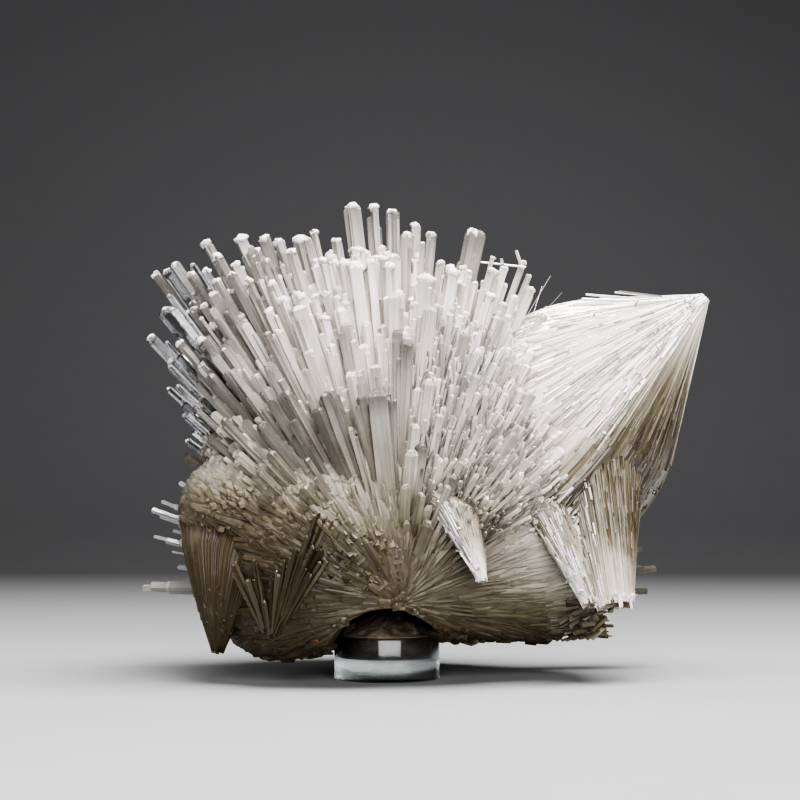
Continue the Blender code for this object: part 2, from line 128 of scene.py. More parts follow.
FACE = (
    (121.6, 87, 2.8), (123, 83.5, 2.6), (120.2, 83.8, 1.8), (127, 77.9, 2.0), (127.4, 74.3, 2.6),
    (130.7, 74.4, 2.4), (130.3, 71.3, 3), (126.1, 68.6, 2), (136.9, 66.8, 1.5), (146.1, 62.4, 2),
    (152.2, 57, 3), (109.3, 75, 4.2), (116.6, 72, 2.4), (119.3, 65.4, 3.2), (112.6, 60.2, 2.2),
    (119, 57.6, 3.3), (122.8, 57.3, 3), (128.7, 54.4, 3), (121, 50.4, 2.4), (106.1, 43.3, 2),
    (102.5, 47.9, 1.6), (100.3, 55, 1.8), (96, 57, 3.2), (84.7, 42.5, 2.4), (85.6, 36.4, 3.8),
    (82.6, 53.6, 3), (81.9, 43.9, 1.6), (78, 45.7, 2.8), (65.1, 46.6, 2.4), (55.1, 48.8, 4.4),
    (78.6, 26.3, 2.6), (86.6, 28, 3), (70, 20.3, 3), (137.5, 45.9, 2.8), (131.6, 47.6, 2.4), (134.3, 45.8, 2),
    (123.8, 40.9, 1.5), (124.9, 36, 1.5), (131, 36, 2.8), (144.8, 41.6, 1.4), (143, 38.6, 1.2),
    (101, 68, 3.6), (91, 74, 3.8), (76, 66, 3.6), (84, 71, 3.6), (70, 72, 3.2), (63, 64, 3.2), (71, 57, 2.8),
    (57, 59, 3.0), (65.9, 36.5, 2.6), (134.5, 61, 2.4), (55, 28, 2.0), (62, 27, 1.8), (49, 26, 2.2),
    (67, 30, 2.2), (50, 37, 2.2), (46, 41, 2.0), (53, 41, 2.4), (43, 38, 1.8), (58, 35, 2.0), (41, 45, 2.0),
    (47, 50, 2.6),
)
DARK_FACE = (
    (95.9, 51.3, 5.6), (90.5, 65.3, 3.4), (88.3, 63.2, 3.8), (109.4, 53.3, 4.4), (113.3, 50.5, 3),
    (94, 49, 3), (120.5, 57, 2.6), (101, 50, 2), (82, 38, 2.6), (66, 33, 2.4),
)
# Crystals behind, at the left and right: (degrees, reach as seen, how far back the tip is, width)
FAR = (
    (152, 60, 24, 2.6), (157.5, 62, 20, 1.9), (160, 63.5, 22, 2.0), (165.5, 61, 22, 2.2),
    (171.5, 54, 24, 2.0), (177.3, 62, 28, 2.9), (7, 62, 26, 3.0), (2, 59.5, 24, 2.4), (12, 59.5, 30, 2.4),
    (154, 56, 18, 1.3), (163, 57, 26, 1.6), (168, 56, 20, 1.2), (149, 58, 26, 1.2), (174, 51, 22, 1.3),
)
# How many crystals fill the front and back between those above, and cover the mass; the poles are where
# the blades fan out from
FRONT_FILL = 1200
BACK_FILL = 2600
SHORT_BEHIND = 3000
FRONT_BLADES, BACK_BLADES = 3900, 1700
FRONT_POLE, BACK_POLE = np.array((0.0, -1.0, 0.0)), np.array((0.1, 0.6, -0.793))
# From what clearness on crystals are glassy, how soft the creases between the masses are, and how much
# of the solid share the core takes
CLEAR_FROM = 0.86
CREASE = 0.8
CORE_SHARE = 0.97
CORE_GRAIN_RADIUS = 60
MOST_IN_BUNDLE = 4

# Sheaves of fibres. The narrow end is (across, up, how far back), and a ray is (degrees, length, how far
# back, how brown and dark: partly iron staining, partly painted shade). "arch" is how far the middle bulges
# to the viewer, "spans" are the lengths of fibres. The brown sets in between the two shares of the length in
# "clean", and turns into the rest's over "mixed". The far-end term adds painted shade toward the far ends.
SHEAVES = {
    "upper_right_sheaf": {
        "end": (76.2, 91.2, 2.0), "radius": 1.4, "bow": 1.15, "fibres": 1900, "width": (0.25, 0.8),
        "clean": (-0.15, 0.45), "mixed": (0.9, 1.6), "shade": (0.0, 0.2), "late": 0.34, "spans": (0.3, 0.85),
        "ripple": 0.4, "rays": (
            (187, 46, 2, 0.08), (196, 56, -8, 0.1), (208, 63, -13, 0.14), (222, 66, -15, 0.28),
            (235, 63, -18, 0.58), (243, 60, -13, 0.82), (250, 60, -6, 0.86), (255, 61, 2, 0.84),
            (250, 60, 9, 0.75), (238, 56, 16, 0.5), (222, 54, 19, 0.25), (205, 50, 17, 0.1),
            (193, 46, 10, 0.08),
        ),
    },
    "lower_right_sheaf": {
        "end": (54.7, 17.2, -13.0), "radius": 4.4, "bow": 1.0, "arch": 2.0, "fibres": 900,
        "width": (0.3, 0.8), "clean": (-0.25, 0.5), "mixed": (1.2, 1.6), "spans": (0.3, 0.8), "ripple": 0.3,
        "fuse": 0.0, "rays": (
            (118, 46, -4, 0.6), (108, 47, -8, 0.74), (98, 48, -9, 0.8), (89, 46, -8, 0.84),
            (81, 42, -2, 0.86), (86, 42, 6, 0.86), (97, 44, 10, 0.8), (110, 44, 6, 0.7),
        ),
    },
    "bright_band": {
        "end": (48.4, 17.8, -20.0), "radius": 1.7, "bow": 1.0, "arch": 4.0, "fibres": 520,
        "width": (0.2, 0.6), "shade": (0.3, 0.8), "clean": (-0.4, 0.6), "mixed": (0.9, 1.6),
        "spans": (0.3, 0.8), "rays": (
            (125, 37, -8, 0.7), (119, 38, -10, 0.62), (113, 37, -10, 0.6), (108, 34, -9, 0.65),
            (105, 30, -6, 0.7), (114, 30, -1, 0.6), (124, 33, -5, 0.6),
        ),
    },
    "front_sheaf": {
        "end": (23.0, 23.2, -29.0), "radius": 1.1, "bow": 1.0, "arch": 1.5, "fibres": 320,
        "width": (0.25, 0.7), "shade": (0.4, 0.9), "clean": (-0.3, 0.5), "mixed": (0.9, 1.6),
        "spans": (0.3, 0.8), "rays": (
            (124, 28, -23, 0.4), (116, 30, -26, 0.45), (107, 29, -25, 0.5), (97, 25, -20, 0.58),
            (90, 19, -14, 0.6), (105, 18, -6, 0.5), (118, 22, -8, 0.4),
        ),
    },
    "lower_left_sheaf": {
        "end": (-40.6, 6.2, -14.0), "radius": 1.5, "bow": 1.08, "arch": 7.0, "fibres": 110,
        "width": (0.6, 1.6), "long": True, "ripple": 0.3, "mixed": (0.9, 1.5), "clean": (-0.1, 0.01),
        "rays": (
            (105, 40, -3, 1.0), (97, 40, -9, 1.05), (87, 38, -13, 1.1), (76, 34, -13, 1.15),
            (66, 31, -10, 1.15), (60, 27, -3, 1.15), (72, 28, 6, 1.0), (88, 34, 8, 1.0), (98, 38, 4, 1.0),
        ),
    },
    "bottom_right_sheaf": {
        "end": (14.0, 13.5, -6.0), "radius": 1.8, "bow": 0.95, "fibres": 1100, "width": (0.25, 0.9),
        "mixed": (-1.0, 0.0), "fuse": 0.0, "ragged": 3.0, "rays": (
            (-6, 39, -7, 0.8), (0, 39, -11, 0.74), (8, 36, -14, 0.62), (18, 33, -15, 0.5), (30, 30, -13, 0.4),
            (34, 30, -5, 0.5), (20, 34, 12, 0.6), (4, 38, 10, 0.7), (-4, 38, 0, 0.8),
        ),
    },
}

STAINED_SHEAVES = ("lower_left_sheaf", "bottom_right_sheaf")
# Small bright crystals on the sheaves, as (sheaf, first ray, last ray, how many)
GLINTS = (
    ("upper_right_sheaf", 2.6, 4.0, 160), ("upper_right_sheaf", 0.5, 2.6, 60), ("front_sheaf", -0.4, 1.2, 80),
    ("bright_band", 0.2, 2.6, 90), ("lower_right_sheaf", 0.2, 1.8, 30),
)
# How many more glints, fine crystals, packed ones, low rods and crystals in the groove there are
FRONT_GLINTS = 720
SUGAR, PACKED, RODS, WEB = 1900, 1900, 1900, 600

# Small dark see-through crystals at the lower left: their root with its depth, and their tips, as
# (across, up) in the view
SMALL_SPRAY_ROOT = (-28.0, 7.5, -24.6)
SMALL_SPRAY_TIPS = (
    (-36.0, 27.4), (-31.0, 28.3), (-24.0, 29.0), (-19.2, 35.3), (-16.8, 39.1), (-14.2, 37.7), (-19.2, 25.7),
    (-33.5, 24.0), (-27.0, 25.0), (-21.5, 31.0), (-17.5, 31.5), (-15.0, 28.0), (-29.0, 20.5),
)
# Rust spots, as ((across, up) in the view, how many lumps), and dark specks
RUST_SPOTS = (((19.5, 10.8), 9), ((15.5, 12.8), 5), ((-15.5, 11.5), 4), ((24.5, 10.4), 5), ((-24.0, 8.0), 3))
DARK_SPECKS = ((2.4, 25.4), (2.7, 23.6), (25.0, 14.5))


def rng_for(seed):
    return np.random.default_rng(seed)


def lengths_of(vectors):
    return np.linalg.norm(vectors, axis=-1)


def unit(vectors):
    return vectors / lengths_of(vectors)[..., None]


def outwards(places):
    """Unit directions from the spray's middle to places."""
    return unit(places - SPRAY_CENTRE)


def seen(across, up, depth):
    """The points, at a depth behind the stand's middle, that show at (across, up) in the view."""
    across, up, depth = np.broadcast_arrays(*(np.asarray(value, float) for value in (across, up, depth)))
    flat = (across - EYE[0], -EYE[1], up - VIEW_MIDDLE)
    cos, sin = math.cos(LOOK_UP), math.sin(LOOK_UP)
    ray = np.stack((flat[0], cos * flat[1] - sin * flat[2], sin * flat[1] + cos * flat[2]), -1)
    return EYE + ray * ((depth - EYE[1]) / ray[..., 1])[..., None]


def smoothstep(low, high, value):
    share = np.clip((value - low) / (high - low), 0, 1)
    return share * share * (3 - 2 * share)


def waves(points, seed, scale):
    """Smooth noise of about -1 to 1 from a few crossed waves."""
    rng = rng_for(seed)
    total = np.zeros(points.shape[:-1])
    for _ in range(6):
        way = unit(rng.normal(size=3)) / scale * rng.uniform(0.7, 1.8)
        total += np.sin(points @ way * math.tau + rng.uniform(0, math.tau))
    return total / 3.2


def envelope(directions):
    """The spray's reach along unit directions."""
    fans = np.degrees(np.arctan2(directions[..., 2], directions[..., 0]))
    fans = (fans + 90) % 360 - 90
    across = np.hypot(directions[..., 0], directions[..., 2]) / reach_at(fans)
    depth = np.where(directions[..., 1] < 0, FRONT_DEPTH, BACK_DEPTH)
    deep = directions[..., 1] / (depth * (1 - RIGHT_THINNER * directions[..., 0]))
    return 1 / np.hypot(across, deep)


def solid_share(directions):
    """How much of the envelope is solid along unit directions."""
    x, y, z = np.moveaxis(directions, -1, 0)
    solid = np.clip(np.maximum.reduce((x * 2.5, (y - x) * 1.4, y * -1.3)), 0, 1)
    start = FREE_RISE[0] + (FREE_RISE_SOLID[0] - FREE_RISE[0]) * solid
    end = FREE_RISE[1] + (FREE_RISE_SOLID[1] - FREE_RISE[1]) * solid
    free = np.clip((z - start) / (end - start), 0, 1)
    least = SOLID_SHARE_FREE + (SOLID_SHARE_BEHIND - SOLID_SHARE_FREE) * np.clip(y * 5, 0, 1)
    return SOLID_SHARE_LOW + (least - SOLID_SHARE_LOW) * free


def reach_at(fans):
    """How far out the spray shows at degrees round its middle."""
    return np.interp(fans, *zip(*OUTLINE))


def on_fan(fans, reaches, depth):
    """The points, at a depth behind the stand's middle, that show at degrees and reaches from the middle."""
    turns = np.radians(fans)
    return seen(SPRAY_CENTRE[0] + np.cos(turns) * reaches, SPRAY_CENTRE[2] + np.sin(turns) * reaches, depth)


def front_depth(shares, flat=1.0):
    """How deep the spray's front lies where it shows at shares of its reach."""
    return SPRAY_CENTRE[1] - FRONT_DEPTH * np.sqrt(1 - shares**2) * flat


def core_radius(directions):
    return envelope(directions) * solid_share(directions) * CORE_SHARE


def mass_radius(directions):
    """The reach of the middle together with the masses grown into it, with soft creases between them."""
    reach = core_radius(directions) / CREASE
    for centre, size in BULGES:
        start, way = (SPRAY_CENTRE - centre) / size, directions / size
        square, middle = (way * way).sum(-1), (way * start).sum(-1)
        inside = middle * middle - square * ((start * start).sum() - 1)
        far = (np.sqrt(inside.clip(0)) - middle) / square
        reach = np.where(inside > 0, np.logaddexp(reach, far / CREASE), reach)
    return reach * CREASE


def mound_height(radius):
    """The putty's top over distances from the middle."""
    share = np.clip(radius / PUTTY_RADIUS, 0, 1)
    rise = PUTTY_TOP - STAND_HEIGHT - GAP
    return STAND_HEIGHT + GAP + rise * np.cos(share * math.pi / 2).clip(0) ** 0.85


def lowest(points):
    """How low the specimen may reach over places: its underside, or the hollow over putty and stand."""
    x, y = points[..., 0], points[..., 1]
    under = np.interp(x, *zip(*UNDERSIDE)) + 0.8 * waves(points * (1, 1, 0), 3, 9)
    wide = STAND_RADIUS + 0.6
    nearer = -EYE[1] / np.maximum(1, np.minimum(y, 0) - EYE[1])
    side = np.where(y < 0, np.abs(x) * nearer, np.hypot(x, y))
    arch = mound_height(side - 0.3) + 0.4
    arch = np.where(y < 0, EYE[2] + (arch - EYE[2]) / nearer, arch)
    return np.where(side < wide, np.maximum(under, arch), under)


def fibonacci(count, lowest_rise):
    """Unit directions spread evenly over the sphere from a slope's sine upwards."""
    i = np.arange(count)
    rise = lowest_rise + (1 - lowest_rise) * (i + 0.5) / count
    ring = np.sqrt(1 - rise * rise)
    turn = i * math.pi * (3 - math.sqrt(5))
    return np.stack((np.cos(turn) * ring, np.sin(turn) * ring, rise), -1)


def frames(axes, turns):
    """Two unit vectors square to each axis and to each other, turned about it."""
    helper = np.where(np.abs(axes[:, 1:2]) < 0.9, (0.0, 1.0, 0.0), (1.0, 0.0, 0.0))
    side = unit(np.cross(helper, axes))
    other = np.cross(axes, side)
    cos, sin = np.cos(turns)[:, None], np.sin(turns)[:, None]
    return side * cos + other * sin, other * cos - side * sin


def grid_triangles(rows, columns):
    """Triangles over rows of points that close round."""
    i, j = np.meshgrid(np.arange(rows - 1), np.arange(columns), indexing="ij")
    a, b = i * columns + j, i * columns + (j + 1) % columns
    corners = ((a, b, b + columns), (a, b + columns, a + columns))
    return np.concatenate([np.stack(corner, -1).reshape(-1, 3) for corner in corners])


def cap_triangles(count, last, hub):
    """Triangles from a first ring to the point at hub, and from the ring at last to the point after it."""
    near = np.arange(count)
    after = (near + 1) % count
    first = np.stack((after, near, np.full(count, hub)), -1)
    return np.concatenate((first, np.stack((near + last, after + last, np.full(count, hub + 1)), -1)))


def copies(faces, count, size):
    """The faces of one shape repeated for so many shapes of so many points each."""
    return (faces[None] + np.arange(count)[:, None, None] * size).reshape(-1, 3)


def ball_grid(subdivisions):
    """A unit ball's points and triangles."""
    bm = bmesh.new()
    bmesh.ops.create_icosphere(bm, subdivisions=subdivisions, radius=1.0)
    points = np.array([vert.co for vert in bm.verts])
    triangles = np.array([[vert.index for vert in face.verts] for face in bm.faces])
    bm.free()
    return points, triangles


class Shapes:
    """Gathers small shapes into one mesh: points, triangles and the values that the materials read."""

    def __init__(self):
        self.points, self.triangles, self.grain, self.stain_and_shade, self.shade = [], [], [], [], []
        self.count = 0

    def add(self, points, triangles, grain, stain_and_shade, shade):
        self.points.append(points)
        self.triangles.append(triangles + self.count)
        self.grain.append(grain)
        self.stain_and_shade.append(np.broadcast_to(stain_and_shade, len(points)))
        self.shade.append(np.broadcast_to(shade, len(points)))
        self.count += len(points)

    def piece(self, name, material, slot="scolecite", node=CLUSTER, smooth=False):
        """The gathered shapes as a piece that stands for a CAD node."""
        points = np.concatenate(self.points)
        triangles = np.concatenate(self.triangles)
        mesh = bpy.data.meshes.new(name)
        mesh.vertices.add(len(points))
        mesh.vertices.foreach_set("co", (points * MM).astype(np.float32).ravel())
        mesh.loops.add(triangles.size)
        mesh.loops.foreach_set("vertex_index", triangles.astype(np.int32).ravel())
        mesh.polygons.add(len(triangles))
        mesh.polygons.foreach_set("loop_start", np.arange(0, triangles.size, 3, dtype=np.int32))
        mesh.polygons.foreach_set("use_smooth", np.full(len(triangles), smooth))
        grain = mesh.attributes.new("grain", "FLOAT_VECTOR", "POINT")
        grain.data.foreach_set("vector", np.concatenate(self.grain).astype(np.float32).ravel())
        for label, values in (("stain_and_shade", self.stain_and_shade), ("shade", self.shade)):
            field = mesh.attributes.new(label, "FLOAT", "POINT")
            field.data.foreach_set("value", np.concatenate(values).astype(np.float32))
        mesh.update(calc_edges=True)
        mesh.validate()
        mesh.materials.append(material)
        made = bpy.data.objects.new(name, mesh)
        bpy.context.scene.collection.objects.link(made)
        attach(made, "root")
        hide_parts(node)
        print(name, len(triangles), "triangles")
        return made


# How brown and dark the specimen is over heights: iron staining, and painted shade that deepens toward the
# bottom
STAIN_AND_SHADE_HEIGHTS = (
    (8, 1.0), (14, 0.93), (20, 0.85), (26, 0.74), (32, 0.6), (38, 0.45), (45, 0.31), (55, 0.18), (66, 0.1),
    (80, 0.0),
)


def stain_and_shade_at(points):
    """How brown and dark the specimen is: partly iron staining, partly painted shade.

    Clean above, darker low down, to the left and in the middle, lighter at the right, with a painted glow
    by the putty.
    """
    x, y, z = np.moveaxis(points, -1, 0)
    # Partly painted shade: lowering the height darkens the colour to the left and in the middle, and raising
    # it at the right lightens it.
    height = z - 3 + 3 * waves(points, 21, 30) - 10 * smoothstep(-5, 25, -x)
    height = height - 6 * np.exp(-((x + 3) / 14) ** 2) + 0.45 * np.maximum(0, x - 3) * smoothstep(4, 24, z)
    # Painted glow: the colour just above the putty is made lighter, as if light shone through the mineral
    # there.
    painted_glow = 0.16 * np.exp(-(np.hypot(x, z - 16) / 12) ** 2)
    return np.interp(height, *zip(*STAIN_AND_SHADE_HEIGHTS)) - painted_glow


def clearness_and_shade(tips, front):
    """How clear and grey crystals with these tips are, not milky: more so at the left, and in front by
    painted shade.
    """
    away = tips - SPRAY_CENTRE
    fans = np.degrees(np.arctan2(away[..., 2], away[..., 0]))
    left = np.interp(fans, (60, 95, 108, 116, 122, 128), (0.12, 0.08, 0.2, 0.5, 0.8, 1.0))
    out = smoothstep(0.72, 0.95, lengths_of(away) / envelope(unit(away)))
    near = np.clip(-away[..., 1] / FRONT_DEPTH, 0, 1)
    middle = np.interp(fans, (60, 86, 92, 118, 130), (0.2, 0.3, 1.0, 1.0, 0.4))
    left = left * smoothstep(40, 62, tips[..., 2]) * (1 - 0.3 * smoothstep(0.35, 0.8, near))
    # The front term is painted shade: crystals in front are greyed as if shaded from the light above.
    return left * (0.3 + 0.7 * out) + front * middle * near**1.3


def add_prisms(
    shapes, roots, tips, widths, rng, sides=4, flat=(0.65, 1.0), blunt=0.4, stain_and_shade=None, shade=None, fade=0.0,
    clear_end=False,
):
    """Crystals from roots to tips: flat sides, a low, uneven point, and clearer to the ends by the fade."""
    count = len(roots)
    axes = unit(tips - roots)
    lengths = lengths_of(tips - roots)
    side, other = frames(axes, rng.uniform(0, math.tau, count))
    flatness = rng.uniform(*flat, count)
    angles = math.tau * (np.arange(sides) + 0.5) / sides + rng.uniform(-0.12, 0.12, (count, sides))
    half = widths[:, None] / 2 * rng.uniform(0.9, 1.15, (count, sides)) / math.cos(math.pi / sides) ** 0.5
    u, v = np.cos(angles) * half, np.sin(angles) * half * flatness[:, None]
    tip_length = np.minimum(widths * blunt * rng.uniform(0.5, 1.3, count), lengths * 0.4)
    # Rings of corners, as (distance from the root, share of the width)
    rings = [(np.zeros(count), 0.92), (lengths - tip_length, 1.0), (lengths - tip_length * 0.3, 0.62)]
    if clear_end:
        rings.insert(1, ((lengths - tip_length) * 0.8, 0.98))
    lean = rng.uniform(-0.12, 0.12, (2, count)) * widths
    points = np.empty((count, len(rings) * sides + 1, 3))
    grain = np.empty_like(points)
    own = rng.uniform(0, 400, (count, 1))
    for k, (along, scale) in enumerate(rings):
        block = slice(k * sides, (k + 1) * sides)
        across = u[..., None] * side[:, None] + v[..., None] * other[:, None]
        points[:, block] = roots[:, None] + axes[:, None] * along[:, None, None] + across * scale
        grain[:, block] = np.stack((u * scale + own, v * scale, np.broadcast_to(along[:, None], u.shape)), -1)
    points[:, -1] = tips + side * lean[0][:, None] + other * lean[1][:, None]
    grain[:, -1] = np.stack((own[:, 0], lean[1], lengths), -1)
    around, size = np.arange(sides), points.shape[1]
    top = around + size - 1 - sides
    faces = np.concatenate((
        grid_triangles(len(rings), sides),
        np.stack((top, np.roll(top, -1), np.full(sides, size - 1)), -1),
        np.stack((np.zeros(sides - 2, int), around[2:], around[1:-1]), -1),
    ))
    triangles, points = copies(faces, count, size), points.reshape(-1, 3)
    share = grain[..., 2] / lengths[:, None]
    if stain_and_shade is None:
        stain_and_shade = stain_and_shade_at(points)
    elif np.ndim(stain_and_shade) == 2:
        stain_and_shade = (stain_and_shade[:, :1] + (stain_and_shade[:, 1:] - stain_and_shade[:, :1]) * share).clip(0, 1).ravel()
    else:
        stain_and_shade = np.repeat(np.broadcast_to(stain_and_shade, count), size)
    if shade is None:
        shade = rng.uniform(0, 1, count)
    shade = shade[:, None] + fade * share**3
    shapes.add(points, triangles, grain.reshape(-1, 3), stain_and_shade, shade.clip(0, 1).ravel())


def add_bundles(shapes, roots, tips, widths, rng, shade, fade=0.25):
    """Crystals grown side by side: one to four prisms for each, thicker ones with more."""
    count = len(roots)
    axes = unit(tips - roots)
    side, other = frames(axes, rng.uniform(0, math.tau, count))
    for k in range(MOST_IN_BUNDLE):
        turn = k * 2.4 + rng.uniform(0, 1, count)
        apart = (widths * (0.26 if k else 0.0))[:, None]
        off = (side * np.cos(turn)[:, None] + other * np.sin(turn)[:, None]) * apart
        chosen = (widths > 1.1 + 0.6 * k) | (k == 0)
        drop = rng.exponential(3.0, count) * (k > 0)
        end = tips + off - axes * np.minimum(drop, 16)[:, None]
        width = widths * (1.0 if k == 0 else 0.64) * rng.uniform(0.8, 1.05, count)
        own = (shade + rng.uniform(-0.15, 0.05, count))[chosen]
        add_prisms(
            shapes, (roots + off)[chosen], end[chosen], width[chosen], rng, flat=(0.55, 0.95), shade=own,
            fade=fade, clear_end=True,
        )


def add_frost(shapes, tips, axes, widths, rng):
    """Lumps along axes, a little wider than the given widths: frosted caps on tips, spots and crusts."""
    ball, faces = ball_grid(LUMP_FINENESS)
    count = len(tips)
    side, other = frames(axes, rng.uniform(0, math.tau, count))
    lump = rng.uniform(0.55, 1.15, (count, len(ball)))
    wide = (widths * 0.53)[:, None]
    local = ball[None] * lump[..., None]
    points = (
        tips[:, None]
        + side[:, None] * (local[..., 0] * wide)[..., None]
        + other[:, None] * (local[..., 1] * wide)[..., None]
        + axes[:, None] * (local[..., 2] * wide * 0.75 - wide * 0.6)[..., None]
    )
    points = points.reshape(-1, 3)
    shapes.add(points, copies(faces, count, len(ball)), points, 0.0, 0.5)


def roots_of(tips, depth=2.5):
    """Where crystals with these tips start: deep enough on the way back to the spray's middle line."""
    away = tips - SPRAY_CENTRE
    start = SPRAY_CENTRE + away * (0, ORIGIN_SHARE, 0)
    steps = np.linspace(0.12, 0.8, 35)
    along = start + (tips - start) * steps[:, None, None] - SPRAY_CENTRE
    inside = lengths_of(along) < core_radius(unit(along)) - depth
    last = np.where(inside.any(0), len(steps) - 1 - inside[::-1].argmax(0), 0)
    return start + (tips - start) * steps[last][:, None]


def tips_seen(rows):
    """Tips and widths of crystals given as seen: nearer the viewer where they show short."""
    fans, reaches, widths = np.array(rows, float).T
    return on_fan(fans, reaches, front_depth(np.minimum(1, reaches / reach_at(fans)))), widths


def in_box(points, margin=0.3):
    """Which points lie inside the CAD's box."""
    low, high = (np.array(corner) / MM for corner in cad_box)
    return ((points > low + margin) & (points < high - margin)).all(-1)


def mass_surface(directions, lift=0.0):
    return SPRAY_CENTRE + directions * (mass_radius(directions) + lift)[..., None]


def make_core(material):
    """The intergrown middle and the masses grown into it."""
    directions, triangles = ball_grid(CORE_FINENESS)
    directions = unit(directions)
    shapes = Shapes()
    points = mass_surface(directions, -0.2)
    points[:, 2] = np.maximum(points[:, 2], lowest(points))
    shapes.add(points, triangles, directions * CORE_GRAIN_RADIUS, stain_and_shade_at(points), 0.1)
    shapes.piece("core", material, smooth=True)


def fill_tips(rng):
    """Tips between the ones that were read off: over the front as it shows, and over the back."""
    fans = rng.uniform(40, 158, FRONT_FILL)
    shares = 1 - np.interp(fans, (75, 92), (0.75, 0.45)) * rng.beta(1.1, 1.4, FRONT_FILL)
    reaches = reach_at(fans) * np.minimum(shares, rng.uniform(0.80, 0.93, FRONT_FILL))
    front = on_fan(fans, reaches, front_depth(shares, rng.uniform(0.25, 0.88, FRONT_FILL)))
    directions = unit(fibonacci(BACK_FILL, -0.12) + rng.normal(scale=0.015, size=(BACK_FILL, 3)))
    directions = directions[directions[:, 1] > -0.05]
    share = rng.beta(2.6, 1.6, len(directions)) * 0.36 + 0.60
    back = SPRAY_CENTRE + directions * (envelope(directions) * np.minimum(share, 0.93))[:, None]
    tips = np.concatenate((front, back))
    away = tips - SPRAY_CENTRE
    outside = lengths_of(away) > core_radius(unit(away)) + 1
    return tips[outside & (tips[:, 2] > lowest(tips) + 2) & in_box(tips)]


def make_spray(materials):
    """The main spray: long crystals, far ones behind, ones in between, glassy ones and frosted tips."""
    rng = rng_for(1)
    shapes = Shapes()
    # In each entry the second value is painted shade for the crystals in front, the third how much clearer
    # their ends get.
    for rows, front, fade in ((CROWN, 0.1, 0.5), (FACE, 0.2, 0.5), (DARK_FACE, 0.3, 1.1)):
        tips, widths = tips_seen(rows)
        fine = smoothstep(8, 20, tips[:, 0]) * (rows is FACE)
        fans, reaches, _ = np.array(rows, float).T
        free = smoothstep(82, 93, reaches) * smoothstep(118, 100, fans) * (rows is CROWN)
        shade = clearness_and_shade(tips, front) + 0.2 * fine + 0.4 * free
        add_bundles(shapes, roots_of(tips), tips, widths * (1 - 0.4 * fine), rng, shade, fade)
    shapes.piece("long_crystals", materials["crystal"])

    frost = Shapes()
    tips, widths = tips_seen(CROWN)
    add_frost(frost, tips, outwards(tips), widths, rng)

    far = Shapes()
    fans, reaches, back, widths = np.array(FAR, float).T
    tips = on_fan(fans, reaches, back)
    stain_and_shade, shade = 0.6 * (tips[:, 0] > 0), np.full(len(tips), 0.8)
    for drop in (0, 3, 7):
        ends = tips - outwards(tips) * drop + rng.normal(scale=0.12 * drop, size=tips.shape)
        add_prisms(far, roots_of(ends), ends, widths * rng.uniform(0.5, 1.0), rng, stain_and_shade=stain_and_shade, shade=shade)
    far.piece("far_crystals", materials["bright"])

    fill, glass = Shapes(), Shapes()
    tips = fill_tips(rng)
    widths = rng.uniform(1.2, 3.0, len(tips))
    shade = clearness_and_shade(tips, 0.1)
    clear = shade > CLEAR_FROM
    add_bundles(fill, roots_of(tips[~clear]), tips[~clear], widths[~clear], rng, shade[~clear])
    fill.piece("crystals", materials["crystal"])
    add_prisms(glass, roots_of(tips[clear]), tips[clear], widths[clear] * 0.8, rng, stain_and_shade=0.0)
    frosted = rng.uniform(size=len(tips)) < smoothstep(70, 96, tips[:, 2])
    add_frost(frost, tips[frosted], outwards(tips)[frosted], widths[frosted], rng)
    tips, widths = tips_seen(GLASSY)
    add_frost(frost, tips, outwards(tips), widths * 0.8, rng)
    frost.piece("frosted_tips", materials["frost"], smooth=True)
    add_prisms(glass, roots_of(tips), tips, widths, rng, flat=(0.7, 0.9), stain_and_shade=0.0)
    glass.piece("glassy_crystals", materials["glassy"])


# A blade's size along its length, as (share of the length, size), and its section across
BLADE_STEPS = ((0.0, 0.8), (0.3, 1.0), (0.65, 1.0), (0.93, 0.9), (1.0, 0.15))
BLADE_SECTION = ((-0.5, -0.6), (-0.42, 0.3), (0.06, 0.5), (0.44, 0.22), (0.5, -0.6))


